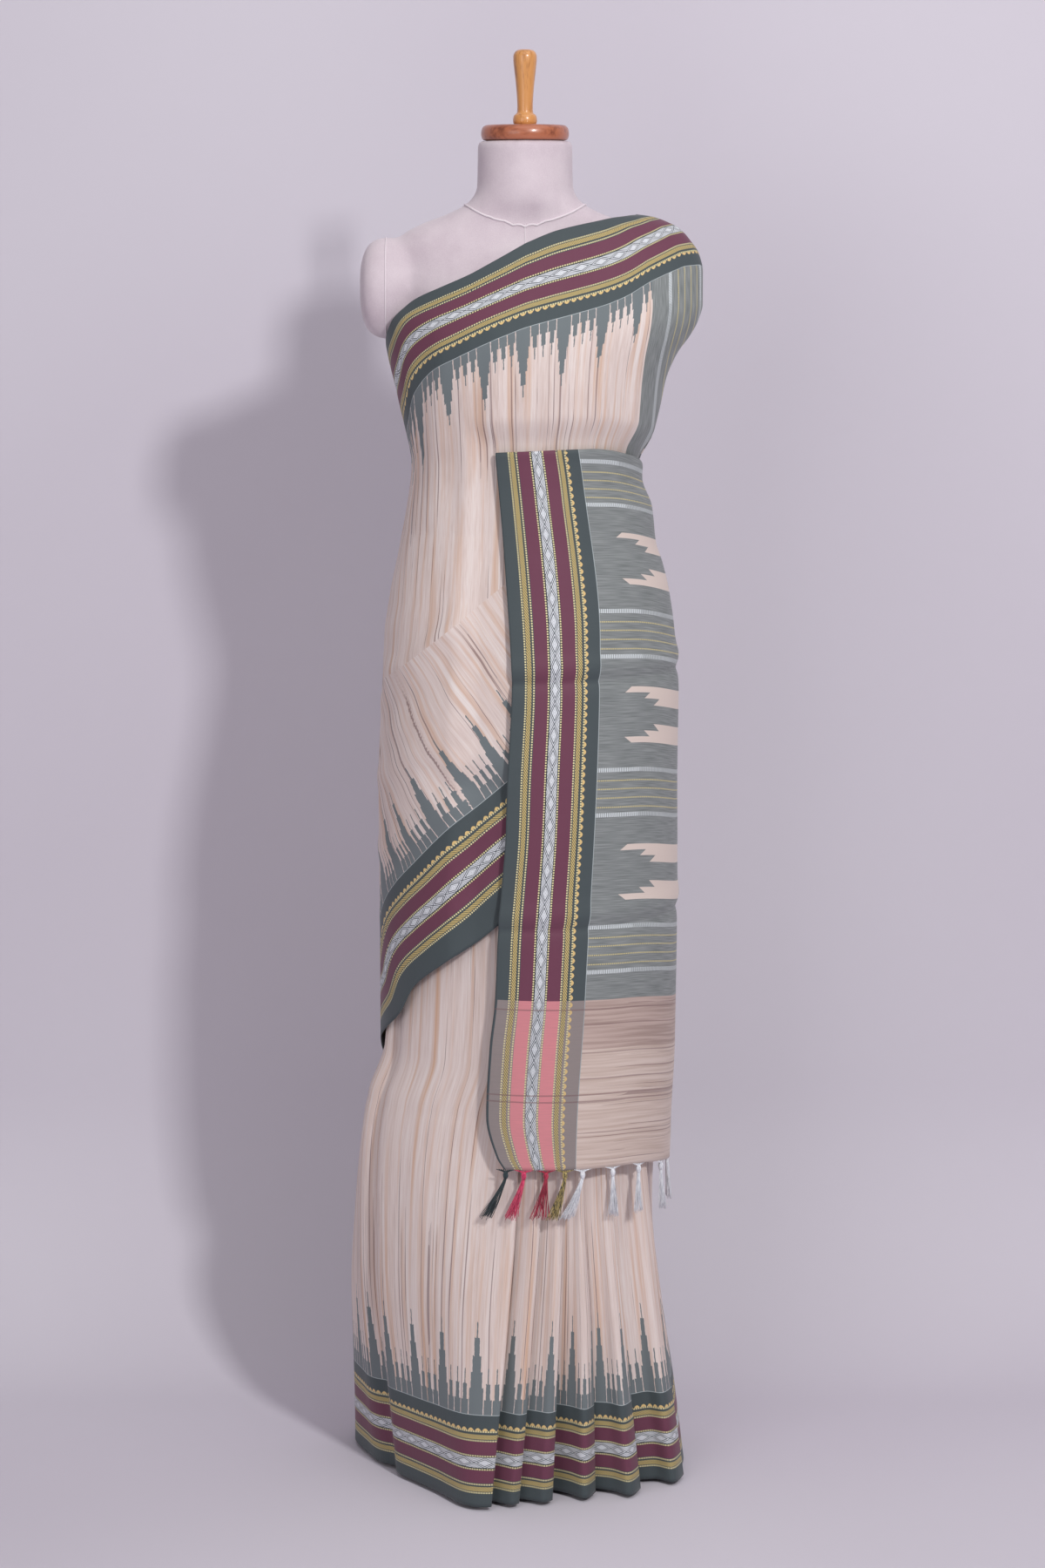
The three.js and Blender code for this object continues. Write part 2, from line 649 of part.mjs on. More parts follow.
// A tassel: a knot with its strands spreading below, fused at their roots
function tassel(angle) {
  const KNOT_HEIGHT = 9;
  const KNOT_RADIUS = 3.4;
  const STRANDS = 10;
  const place = palluUnderside(angle);
  const ring = (radius, z) => Array.from({ length: 6 }, (_, i) => {
    return new THREE.Vector3(radius * Math.cos(Math.PI * i / 3), radius * Math.sin(Math.PI * i / 3), z);
  });
  const knot = loft([ring(1.8, 0), ring(KNOT_RADIUS, -4.5), ring(2.5, -KNOT_HEIGHT)]);
  const strand = (i) => {
    const turn = 2.4 * i;
    const spread = Math.sqrt((i + 0.5) / STRANDS);
    const out = new THREE.Vector3(Math.cos(turn), Math.sin(turn), 0);
    const length = TASSEL_DROP - 4 * Math.abs(Math.sin(3.1 * i));
    const stations = [[1.5 * spread, -KNOT_HEIGHT + 3], [7.4 * spread, -length]];
    return loft(stations.map(([reach, z], station) => Array.from({ length: 3 }, (_, k) => {
      const corner = turn + 2 * Math.PI * k / 3;
      const thick = station === 0 ? 0.75 : 0.6;
      return out.clone().multiplyScalar(reach).add(new THREE.Vector3(thick * Math.cos(corner), thick * Math.sin(corner), z));
    })));
  };
  const geometry = joined([knot, ...Array.from({ length: STRANDS }, (_, i) => strand(i))]);
  return geometry.translate(place.x, place.y, place.z - SEAM_GAP);
}

const cover = new THREE.MeshStandardMaterial({ color: 0xdcd0d6, roughness: 0.9, metalness: 0 });
const redwood = new THREE.MeshStandardMaterial({ color: 0xa5573a, roughness: 0.45, metalness: 0 });
const palewood = new THREE.MeshStandardMaterial({ color: 0xc98444, roughness: 0.4, metalness: 0 });
const steel = new THREE.MeshStandardMaterial({ color: 0x8d8f92, roughness: 0.35, metalness: 0.8 });
const silk = new THREE.MeshStandardMaterial({ color: 0xd9c7ba, roughness: 0.75, metalness: 0 });
const greySilk = new THREE.MeshStandardMaterial({ color: 0x7c8484, roughness: 0.75, metalness: 0 });

const saree = new THREE.Group();

function add(name, geometry, material) {
  const mesh = new THREE.Mesh(geometry, material);
  mesh.name = name;
  saree.add(mesh);
}

add('dress_form', dressForm(), cover);
add('neck_cap_disc', neckCapDisc(), redwood);
add('neck_cap_handle', neckCapHandle(), palewood);
add('stand_pole', standPole(), steel);
add('stand_base', standBase(), steel);
add('skirt_wrap', skirtWrap(), silk);
add('skirt_pleats', skirtPleats(), silk);
add('hip_wrap', hipWrap(), silk);
add('chest_drape', chestDrape(), silk);
add('pallu_back', palluBack(), greySilk);
add('pallu_end', palluEnd(), greySilk);
TASSELS.forEach(({ angle, colour }, i) => {
  const yarn = new THREE.MeshStandardMaterial({ color: colour, roughness: 0.8, metalness: 0 });
  add(`tassel_${i + 1}`, tassel(angle), yarn);
});

export default saree;
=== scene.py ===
"""A wound saree with woven borders on a dress form, in a plain pale studio.

Sizes are millimetres unless a name says otherwise; meshes are made in metres. The viewer stands at -Y.
Angles round the figure are in degrees: 0 front, 90 right, 180 back, 270 left.
"""
import math
from functools import partialmethod

import bpy
import numpy as np
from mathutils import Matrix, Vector


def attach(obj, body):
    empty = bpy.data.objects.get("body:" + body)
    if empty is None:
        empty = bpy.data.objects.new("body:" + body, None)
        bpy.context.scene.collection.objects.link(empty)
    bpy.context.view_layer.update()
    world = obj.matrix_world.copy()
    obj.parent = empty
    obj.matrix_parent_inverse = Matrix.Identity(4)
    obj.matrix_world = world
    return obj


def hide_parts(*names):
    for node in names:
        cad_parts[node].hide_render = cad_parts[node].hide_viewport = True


MM = 0.001
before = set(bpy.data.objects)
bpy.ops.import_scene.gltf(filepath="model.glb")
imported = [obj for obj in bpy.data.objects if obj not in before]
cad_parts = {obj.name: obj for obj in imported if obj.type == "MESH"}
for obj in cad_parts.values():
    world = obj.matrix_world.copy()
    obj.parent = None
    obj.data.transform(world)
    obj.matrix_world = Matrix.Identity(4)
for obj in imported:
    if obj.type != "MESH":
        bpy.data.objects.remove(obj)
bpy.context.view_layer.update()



def in_scene(name, data):
    """A new object that holds the data."""
    piece = bpy.data.objects.new(name, data)
    bpy.context.collection.objects.link(piece)
    return piece


# Camera
CAMERA_PLACE = (-0.003, -4.6, 1.5)
CAMERA_DOWN = 8.1           # degrees
CAMERA_LENS = 88.06

camera = bpy.data.cameras.new("camera")
camera.lens = CAMERA_LENS
camera.sensor_width = 36
view = in_scene("camera", camera)
view.location = CAMERA_PLACE
view.rotation_euler = (math.radians(90 - CAMERA_DOWN), 0, 0)
bpy.context.scene.camera = view

# Cloth
CLOTH = 1.1
HEM_Z = 5
WAIST_Z = 1190
PLEAT_OVERLAP = 10
RETURN_DEPTH = 5
TURN_WIDTH = 3
TURN_START = 1.2
PANEL_UNDERLAY = 11
SECOND_ROUND_DEPTH = 18
LAYER_GAP = 5
SIDE_SEAM = 105
SHOULDER_SEAM = 92
PALLU_TOP_END = 150
PANEL_START = -14
BORDER = 110                # width of each woven border

# Sections of the outer cloth: half widths to the left and right, depths to the front and back
OUTER = {
    "z": [0, 109, 226, 312, 383, 450, 531, 680, 845, 957, 1034, 1082, 1115, 1139, 1182, 1217, 1234,
          1267, 1306, 1330, 1360, 1386, 1404, 1423, 1460, 1482, 1497, 1511, 1518, 1525, 1528],
    "left": [176, 176, 176, 176, 176, 176, 176, 176, 177, 172, 168, 161, 154, 149, 141, 136, 135,
             141, 150, 155, 162, 167, 169, 163, 151, 141, 131, 120, 110, 100, 90],
    "right": [211, 200, 182, 173, 177, 180, 184, 185, 185, 186, 180, 173, 165, 157, 152, 140, 141,
              153, 162, 167, 179, 196, 206, 211, 211, 206, 196, 183, 170, 150, 128],
    "front": [190, 182, 178, 175, 174, 172, 169, 166, 161, 154, 147, 139, 134, 130, 125, 122, 122,
              125, 130, 132, 131, 127, 121, 111, 88, 77, 69, 59, 52, 42, 32],
    "back": [194, 190, 182, 174, 168, 163, 160, 156, 152, 149, 140, 128, 117, 111, 105, 102, 102,
             106, 110, 111, 112, 110, 108, 104, 90, 82, 72, 62, 54, 44, 34],
}
SKIRT = {
    "z": [0, 100, 200, 312, 413, 468, 531, 680, 845, 957, 1034, 1082, 1115, 1150, 1190],
    "left": [212, 218, 220, 210, 199, 190, 169, 163, 163, 159, 155, 148, 140, 126, 109.4],
    "right": [176, 168, 156, 146, 146, 147, 150, 154, 157, 156, 147, 139, 131, 120, 109.4],
    "front": [190, 172, 160, 152, 148, 146, 144, 140, 134, 128, 118, 110, 104, 96, 85.4],
    "back": [162, 160, 155, 149, 145, 142, 138, 134, 129, 126, 115, 104, 95, 84, 72.4],
}
FORM = {
    "z": [700, 708, 780, 880, 960, 1040, 1120, 1190, 1240, 1300, 1340, 1380, 1420, 1460, 1488, 1504,
          1518, 1530, 1543, 1558, 1614],
    "half": [126, 132, 141, 147, 143, 131, 116, 108, 109, 122, 133, 142, 150, 157, 158, 146,
             120, 88, 66, 57, 56],
    "front": [92, 98, 106, 110, 106, 96, 87, 84, 87, 102, 110, 105, 92, 71, 57, 49, 45, 47, 53, 55, 55],
    "back": [94, 100, 110, 116, 112, 98, 77, 71, 73, 86, 92, 94, 90, 78, 62, 52, 48, 48, 52, 55, 55],
}
PLEAT_EDGES = {
    "z": [5, 190, 360, 620, 900, 1060, 1190],
    "panel": [-41, -25, -12, -2, 4, 6, 6],
    "first": [-8, 7, 18, 22, 22, 21, 20],
    "second": [32, 39, 44, 44, 41, 37, 36],
    "third": [84, 80, 71, 68, 61, 54, 52],
    "fourth": [139, 119, 104, 95, 82, 71, 68],
    "fifth": [193, 168, 149, 126, 104, 89, 84],
    "depth": [190, 164, 153, 147, 134, 116, 100],
    "half": [205, 186, 172, 168, 160, 146, 124],
}
PLEATS = ["panel", "first", "second", "third", "fourth", "fifth"]
PLEAT_HEM = {
    "y": [-202, -189, -177, -148, -134, -82],
    "step": [22, 17, 38, 14, 34, 12],
    "belly": [0, 7, 9, 24, 25, 26],
}
PLEAT_HEM_TOP = 360
STEP_ABOVE = 10
BELLY_ABOVE = 5
BELLY_PEAK = 2.4

# First round at the hem, from beside the panel's edge round the left and back to its hidden start
FIRST_ROUND_HEM = {
    "angle": [-20, -36, -48, -62, -76, -88, -100, -114, -128, -142, -157, -173, -189, -204, -219, -234,
              -249, -263, -276],
    "x": [-73, -106, -131, -156, -176, -199, -213, -203, -166, -118, -62, -4, 54, 104, 140, 162,
          173, 173, 167],
    "y": [-193, -143, -108, -73, -22, 17, 62, 106, 139, 157, 164, 165, 159, 142, 114, 79, 38, -4, -34],
}
UPPER_SELVEDGE = {
    "angle": [-90, -80, -71, -62, -54, -39, -26, -14, -2, 12, 27, 44, 65, 92],
    "z": [1366, 1384, 1398, 1415, 1428, 1443, 1457, 1474, 1491, 1509, 1518, 1524, 1526.5, 1527.5],
}
UPPER_BORDER_INNER = {
    "angle": [-90, -72, -58, -45, -29, -15, 0.5, 16, 27, 34, 45, 58, 65, 78, 92],
    "z": [1262, 1285, 1320, 1343, 1362, 1379, 1397, 1412, 1423, 1432, 1450, 1463, 1467, 1468, 1462],
}
LOWER_SELVEDGE = {
    "angle": [-90, -74, -62, -53, -39, -26, -9, 12, 33, 54, 92],
    "z": [531, 556, 580, 617, 650, 680, 725, 778, 830, 880, 935],
}
SECOND_ROUND_TOP = {
    "angle": [20, 150, 180, 200, 220, 240, 255, 270],
    "z": [1190, 1192, 1200, 1232, 1276, 1320, 1345, 1366],
}
SECOND_ROUND_HEM = {
    "angle": [20, 80, 100, 125, 150, 180, 210, 240, 270],
    "z": [5, 5, 22, 55, 105, 240, 360, 460, 531],
}
PALLU_FREE = {"z": [385, 1000, 1180, 1280, 1360, 1420, 1460], "angle": [184, 183, 180, 174, 166, 158, 150]}
PALLU_SEAM = {"z": [385, 1225, 1285, 1528], "angle": [SIDE_SEAM, SIDE_SEAM, SHOULDER_SEAM, SHOULDER_SEAM]}
PALLU_TOP = {"angle": [92, 100, 110, 122, 136, 150], "z": [1527.5, 1525, 1519, 1508, 1488, 1460]}
BACK_FOLDS = {"angle": [124, 138, 151, 163, 174], "width": [7, 5, 6, 5, 5], "depth": [9, 8, 9, 8, 7]}
PANEL_EDGE = {
    "z": [409, 424, 471, 552, 611, 694, 742, 804, 867, 985, 1030, 1090, 1164, 1253],
    "x": [-25, -34, -46, -42, -35.5, -32, -28, -23, -21, -15.5, -17.5, -21.5, -27, -35],
}
PANEL_TOP = {"angle": [-16, -8, 32, 60, 90, 105], "z": [1252, 1253, 1256, 1247, 1231, 1208]}
PANEL_BOTTOM = {"angle": [-12, 0, 40, 90, 105, 184], "z": [409, 408, 404, 386, 385, 385]}


def lerp(a, b, t):
    return a + (b - a) * t


def smooth(low, high, value):
    t = np.clip((np.asarray(value, float) - low) / (high - low), 0, 1)
    return t * t * (3 - 2 * t)


def bump(value, middle, width):
    return np.exp(-(((value - middle) / width) ** 2))


def along(table, value, name=None):
    """A named column, or else the second, at values of the first, on a smooth curve that never overshoots."""
    columns = list(table)
    x = np.asarray(table[columns[0]], float)
    y = np.asarray(table[name or columns[1]], float)
    step = np.diff(x)
    slope = np.diff(y) / step
    tangent = np.zeros_like(y)
    same = slope[:-1] * slope[1:] > 0
    mean = 2 * slope[:-1] * slope[1:] / np.where(same, slope[:-1] + slope[1:], 1)
    tangent[1:-1] = np.where(same, mean, 0)
    tangent[0], tangent[-1] = slope[0], slope[-1]
    v = np.clip(np.asarray(value, float), x[0], x[-1])
    i = np.clip(np.searchsorted(x, v, side="right") - 1, 0, len(step) - 1)
    t = (v - x[i]) / step[i]
    return (y[i] * (1 + 2 * t) * (1 - t) ** 2 + y[i + 1] * t * t * (3 - 2 * t)
            + step[i] * (tangent[i] * t * (1 - t) ** 2 - tangent[i + 1] * t * t * (1 - t)))


def joined(*parts):
    """Numbers or arrays, spread to one shape and put side by side along a new last axis."""
    return np.stack(np.broadcast_arrays(*(np.asarray(part, float) for part in parts)), -1)


def on_section(table, z, angle, inset=0):
    """Points on oval sections whose four quarters have their own widths and depths."""
    side, ahead = np.sin(np.radians(angle)), np.cos(np.radians(angle))
    half = np.where(side < 0, along(table, z, "left"), along(table, z, "right")) - inset
    depth = np.where(ahead > 0, along(table, z, "front"), along(table, z, "back")) - inset
    return joined(half * side, -depth * ahead, z)


def refined(path, times):
    """A finer smooth path through the points of each row: [rows, points, 2 or 3]."""
    chord = np.sqrt(np.linalg.norm(np.diff(path, axis=1), axis=2)) + 1e-6
    slope = np.diff(path, axis=1) / chord[:, :, None]
    weight = (chord[:, 1:] / (chord[:, 1:] + chord[:, :-1]))[:, :, None]
    inner = slope[:, :-1] * weight + slope[:, 1:] * (1 - weight)
    tangent = np.concatenate([slope[:, :1], inner, slope[:, -1:]], 1)
    s = (np.arange(times) / times)[None, None, :, None]
    step = chord[:, :, None, None]
    p, q = path[:, :-1, None], path[:, 1:, None]
    m, n = tangent[:, :-1, None] * step, tangent[:, 1:, None] * step
    fine = (p * (1 + 2 * s) * (1 - s) ** 2 + q * s * s * (3 - 2 * s)
            + m * s * (1 - s) ** 2 - n * s * s * (1 - s))
    fine = fine.reshape(len(path), -1, path.shape[2])
    return np.concatenate([fine, path[:, -1:]], 1)


def lengths(points, axis):
    """Distance from the start along one axis of an array of points."""
    steps = np.linalg.norm(np.diff(points, axis=axis), axis=-1)
    return np.insert(np.cumsum(steps, axis), 0, 0, axis)


def from_selvedge(arc, z, curve_arc, curve_z):
    """Along a selvedge and away from it, on the unrolled cloth, for points at (arc, z)."""
    a0, z0 = curve_arc[:-1], curve_z[:-1]
    da, dz = np.diff(curve_arc), np.diff(curve_z)
    length = np.hypot(da, dz)
    start = np.concatenate([[0], np.cumsum(length)[:-1]])
    best = np.full(arc.shape, 1e9)
    place = np.zeros(arc.shape)
    for i in range(len(a0)):
        t = np.clip(((arc - a0[i]) * da[i] + (z - z0[i]) * dz[i]) / length[i] ** 2, 0, 1)
        away = np.hypot(arc - a0[i] - t * da[i], z - z0[i] - t * dz[i])
        nearer = away < best
        best = np.where(nearer, away, best)
        place = np.where(nearer, start[i] + t * length[i], place)
    return place, best


def unrolled(angle, z, reference, section, selvedge, ends):
    """Distance round a section, and the cloth coordinates from a selvedge between two angles."""
    reach = lengths(section, 0)
    arc = np.interp(angle, reference, reach)
    curve = np.linspace(*ends, 500)
    return arc, *from_selvedge(arc, z, np.interp(curve, reference, reach), along(selvedge, curve))


def sheet_normals(grid):
    """Unit normals of a sheet's grid, on the side that faces away from the figure's axis."""
    normal = np.cross(np.gradient(grid, axis=1), np.gradient(grid, axis=0))
    normal /= np.linalg.norm(normal, axis=2, keepdims=True) + 1e-9
    outward = (normal[..., :2] * grid[..., :2]).sum() > 0
    return normal if outward else -normal


def raised(grid, height):
    """A grid moved outward along its normals."""
    return grid + sheet_normals(grid) * height[..., None]


def mesh_from(name, points, faces, maps=None):
    """A smooth mesh object from arrays of points in millimetres and of quads or triangles."""
    mesh = bpy.data.meshes.new(name)
    mesh.from_pydata((points * MM).astype(np.float32), [], faces.astype(np.int32))
    for map_name, values in (maps or {}).items():
        layer = mesh.uv_layers.new(name=map_name)
        layer.uv.foreach_set("vector", values[faces.ravel()].astype(np.float32).ravel())
    mesh.polygons.foreach_set("use_smooth", np.ones(len(faces), bool))
    mesh.validate()
    return in_scene(name, mesh)


def grid_faces(rows, columns, offset=0, flip=False):
    index = np.arange(rows * columns).reshape(rows, columns) + offset
    quads = np.stack([index[:-1, :-1], index[:-1, 1:], index[1:, 1:], index[1:, :-1]], -1).reshape(-1, 4)
    return quads[:, ::-1] if flip else quads


def cloth_piece(name, grid, maps, thickness=CLOTH):
    """A closed thin sheet about a grid of points, with cloth coordinates in metres as UV maps."""
    normal = sheet_normals(grid)
    rows, columns = grid.shape[:2]
    count = rows * columns
    points = np.concatenate([(grid + normal * thickness / 2).reshape(-1, 3),
                             (grid - normal * thickness / 2).reshape(-1, 3)])
    cross = np.cross(np.gradient(grid, axis=1), np.gradient(grid, axis=0))
    faces_out = (cross * normal).sum() > 0
    index = np.arange(count).reshape(rows, columns)
    loop = np.concatenate([index[0, :-1], index[:-1, -1], index[-1, :0:-1], index[:0:-1, 0]])
    after = np.roll(loop, -1)
    rim = np.stack([loop, loop + count, after + count, after], -1)
    faces = np.concatenate([grid_faces(rows, columns, 0, not faces_out),
                            grid_faces(rows, columns, count, faces_out),
                            rim if faces_out else rim[:, ::-1]])
    doubled = {}
    for key, value in maps.items():
        flat = np.broadcast_to(value, (rows, columns, 2)).reshape(-1, 2)
        doubled[key] = np.concatenate([flat, flat]) * MM
    return mesh_from(name, points, faces, doubled)


FAR = 700.0                  # past every border, and twice this is past every pallu pattern
# Height of the temple spires on the drape's lower and upper borders, over the hem's
HIP_TEMPLE = 0.85
CHEST_TEMPLE = 0.72


def past_border(v, scale):
    """Distances from a selvedge, with all that lies past the border drawn at a smaller scale."""
    return np.where(v > BORDER, BORDER + (v - BORDER) / scale, v)


# Skirt
SKIRT_LEVELS = np.concatenate([np.linspace(HEM_Z, 730, 150), np.linspace(730, WAIST_Z, 24)[1:]])


def pleat_edges(z):
    """The pleats' edges across the front at heights z, the outer panel's edge first."""
    hem = 1 - np.clip((z - HEM_Z) / (PLEAT_HEM_TOP - HEM_Z), 0, 1)
    depth, half = along(PLEAT_EDGES, z, "depth"), along(PLEAT_EDGES, z, "half")
    before = along(PLEAT_EDGES, z, "panel") - 30
    edges = []
    for name, y, step, belly in zip(PLEATS, *PLEAT_HEM.values()):
        x = along(PLEAT_EDGES, z, name)
        above = -depth * np.sqrt(1 - np.minimum(0.99, (x / half) ** 2))
        edges.append({
            "x": x,
            "y": lerp(above, y, hem),
            "step": lerp(STEP_ABOVE, step, hem),
            "belly": lerp(BELLY_ABOVE, belly, hem),
            "overlap": np.minimum(PLEAT_OVERLAP, 0.45 * (x - before)),
        })
        before = x
    return edges


def pleat_fold(edge):
    reach = np.minimum(2, edge["overlap"] / 4)
    back = edge["y"] + RETURN_DEPTH
    return [(edge["x"], edge["y"]), (edge["x"] + 0.4, edge["y"] + RETURN_DEPTH / 2),
            (edge["x"] - reach, back), (edge["x"] - edge["overlap"], back)]


def pleat_turn(edge):
    x = edge["x"] - edge["overlap"]
    low, high = edge["y"] + RETURN_DEPTH, edge["y"] + edge["step"]
    return [(x - TURN_START, low), (x - TURN_WIDTH, lerp(low, high, 0.3)),
            (x - TURN_WIDTH, lerp(low, high, 0.75)), (x, high)]


def pleat_face(previous, edge):
    shown_x, start_y = previous["x"] + TURN_START, previous["y"] + previous["step"]
    return [(lerp(shown_x, edge["x"], t),
             lerp(start_y, edge["y"], math.sqrt(t)) - edge["belly"] * math.sin(math.pi * t ** BELLY_PEAK))
            for t in (0, 0.4, 0.76)]


def upright_grid(path, z, times):
    """A grid from a plan path at each height: [heights, points, 3]."""
    fine = refined(np.stack([joined(x, y) for x, y in path], 1), times)
    return joined(fine[..., 0], fine[..., 1], z[:, None])


def skirt_maps(grid, start=0.0):
    across = lengths(grid[:1], 1)
    along_hem = np.broadcast_to(across, grid.shape[:2]) + start
    return {"Lower": joined(along_hem, grid[..., 2] - HEM_Z), "Upper": joined(along_hem, FAR),
            "Weft": joined(-FAR, FAR + FAR)}


def pressed_in(point, angle, z):
    turn = angle + 360
    if turn > 270:
        return point
    covered = smooth(-64, -16, z - along(SECOND_ROUND_HEM, turn))
    outer = on_section(OUTER, z, turn, second_round_inset(turn) + LAYER_GAP)
    scale = np.minimum(1, np.hypot(outer[:, 0], outer[:, 1]) / np.hypot(*point))
    return [v * lerp(1, scale, covered) for v in point]


def second_round_inset(angle):
    return SECOND_ROUND_DEPTH * (1 - smooth(190, 226, angle))


# Faint creases left by the folded cloth, and long soft waves between the hem and the drape
SKIRT_STORAGE = {"z": [464, 664], "depth": [0.9, 0.8]}
# A rounded fold with a valley beside it, down the skirt's left front
LEFT_FOLD = {"u": [-60, -22], "width": [24, 13], "height": [6, -8]}
ROUND_TIMES = 8              # points of the first round's grid for each of its plan's points


def stored(z, creases):
    """Sharp shallow creases across a piece, left where the cloth lay folded."""
    return sum(-depth * np.exp(-np.abs(z - level) / 5) for level, depth in zip(*creases.values()))


def soft_waves(grid, maps):
    """Uneven shallow waves that run up a skirt piece, deepest at mid height."""
    u, z = maps["Lower"][..., 0], grid[..., 2]
    rise = smooth(40, 260, z) * (1 - smooth(560, 760, z))
    waves = (1.1 * np.sin(u / 31 + 0.9 * np.sin(z / 210)) + 0.5 * np.sin(u / 9.1 + 0.5)
             + 0.8 * np.sin(u / 17.3 + 1.7 + 0.7 * np.sin(z / 160)))
    return raised(grid, waves * rise * 0.8 + stored(z, SKIRT_STORAGE))


def skirt_wrap():
    z = SKIRT_LEVELS
    hem = 1 - np.clip((z - HEM_Z) / (PLEAT_HEM_TOP + 60 - HEM_Z), 0, 1)
    edge = pleat_edges(z)[0]
    path = pleat_fold(edge)[::-1] + [(edge["x"] - edge["overlap"] - TURN_WIDTH - 3, edge["y"])]
    before_hem = len(path)
    for angle, x, y in zip(*FIRST_ROUND_HEM.values()):
        above = on_section(SKIRT, z, angle)
        plan = [lerp(above[:, 0], x, hem), lerp(above[:, 1], y, hem)]
        path.append(tuple(pressed_in(plan, angle, z)))
    grid = upright_grid(path, z, ROUND_TIMES)
    maps = skirt_maps(grid)
    # In front of this column the cloth hangs straight, and the pleat's edge runs across its streaks
    anchor = ROUND_TIMES * (before_hem + FIRST_ROUND_HEM["angle"].index(-62))
    arc = lengths(grid, 1)
    own, at_hem = arc - arc[:, anchor:anchor + 1], arc[:1] - arc[:1, anchor:anchor + 1]
    column = np.arange(grid.shape[1])[None, :]
    u = np.where(column < anchor, -own, -at_hem)
    maps["Lower"][..., 0] = u
    fold = sum(height * bump(u, middle, width) for middle, width, height in zip(*LEFT_FOLD.values()))
    fold = fold * (1 - smooth(520, 660, grid[..., 2]))
    folded = soft_waves(grid, maps) + sheet_normals(grid) * fold[..., None]
    return cloth_piece("skirt_wrap_cloth", folded, maps)


def skirt_pleats():
    z = SKIRT_LEVELS
    edges = pleat_edges(z)
    path = []
    for before, edge in zip(edges, edges[1:]):
        turn = pleat_turn(before)
        first = [(before["x"] - before["overlap"] - 0.35, before["y"] + RETURN_DEPTH)] if not path else []
        path += first + turn + pleat_face(before, edge) + pleat_fold(edge)
    grid = upright_grid(path, z, 4)
    maps = skirt_maps(grid, start=17)
    return cloth_piece("skirt_pleats_cloth", soft_waves(grid, maps), maps)


# Second round
HIP_SHIFT = 900              # sets the round's pattern off from the first round's
UPPER_SHOWN_FROM = 176       # angle from which the upper border shows below the drape


def hip_wrap():
    z = SKIRT_LEVELS
    rise = (z - HEM_Z) / (WAIST_Z - HEM_Z)
    edge = pleat_edges(z)[-1]
    bend = [(edge["x"] - edge["overlap"] - 0.35, edge["y"] + RETURN_DEPTH)] + pleat_turn(edge)
    x, y = bend[-1]
    half = along(OUTER, z, "right") - SECOND_ROUND_DEPTH
    depth = along(OUTER, z, "front") - SECOND_ROUND_DEPTH
    start_angle = np.degrees(np.arctan2(x / half, -y / depth))[:, None]
    start_scale = np.hypot(x / half, y / depth)[:, None]
    c = np.linspace(0, 1, 150)[None, 1:]
    angle = lerp(start_angle, 270, c)
    low = along(SECOND_ROUND_HEM, angle)
    high = along(SECOND_ROUND_TOP, angle)
    round_grid = on_section(OUTER, lerp(low, high, rise[:, None]), angle, second_round_inset(angle))
    round_grid[..., :2] *= lerp(start_scale, 1, smooth(0, 0.22, c))[..., None]
    bend_grid = upright_grid(bend, z, 3)
    grid = np.concatenate([bend_grid, round_grid], 1)
    # Cloth coordinates on the unrolled round: the hem climbs, so its border climbs with it
    turn = np.concatenate([np.broadcast_to(angle[:, :1], (len(rise), bend_grid.shape[1])), angle], 1)
    reference = np.linspace(20, 270, 251)
    section = on_section(OUTER, 400, reference, second_round_inset(reference))
    arc, u, v = unrolled(turn, grid[..., 2], reference, section, SECOND_ROUND_HEM, (20, 270))
    down = grid[-1:, :, 2] - grid[..., 2]
    shown_width = lerp(96, 104, smooth(240, 270, turn))
    upper = np.where(turn > UPPER_SHOWN_FROM, down * BORDER / shown_width, FAR)
    knee = v - lerp(230, 370, smooth(190, 265, turn))
    maps = {"Lower": joined(u + HIP_SHIFT, past_border(v, HIP_TEMPLE)),
            "Upper": joined(arc, past_border(upper, HIP_TEMPLE)), "Weft": joined(knee, FAR + FAR)}
    return cloth_piece("hip_wrap_cloth", grid, maps)


# Drape across the front
CHEST_COLUMNS = 190
CHEST_ROWS = 200
PALLU_START = 1247           # from the fringe to where the pallu's grey begins
PALLU_START_ANGLE = 45       # where that lies on the upper border, round the figure
WIDEST_LEFT, WIDEST_RIGHT = 163, 211
CHEST_STORAGE = {"z": [1155, 1010, 880], "depth": [0.7, 0.5, 0.5]}


def chest_inset(angle, z):
    """The drape passes under the pallu's panel, and lies 3 mm under the pallu's back at the side seam."""
    rim = along(PANEL_TOP, angle)
    under_back = 3 * smooth(84, 91, angle) * (1 - smooth(1284, 1296, z))
    under_panel = PANEL_UNDERLAY * smooth(-32, -19, angle) * (1 - smooth(rim + 6, rim + 40, z))
    return np.maximum(under_back, under_panel)


def knee_line(x):
    """Height at which the drape's cloth turns from hanging to lying across."""
    return 1118 + 0.82 * x


def chest_creases(angle, z):
    x = 172 * np.sin(np.radians(angle))
    shown = 1 - smooth(-34, -22, angle)
    knee = 5 * bump(z, knee_line(x), 16) - 3.5 * bump(z, knee_line(x) - 34, 24)
    trough = -6 * bump(z, 862, 20) * smooth(-130, -95, x) * (1 - smooth(-40, -15, x))
    return (knee * shown + trough) * smooth(-88, -74, angle)


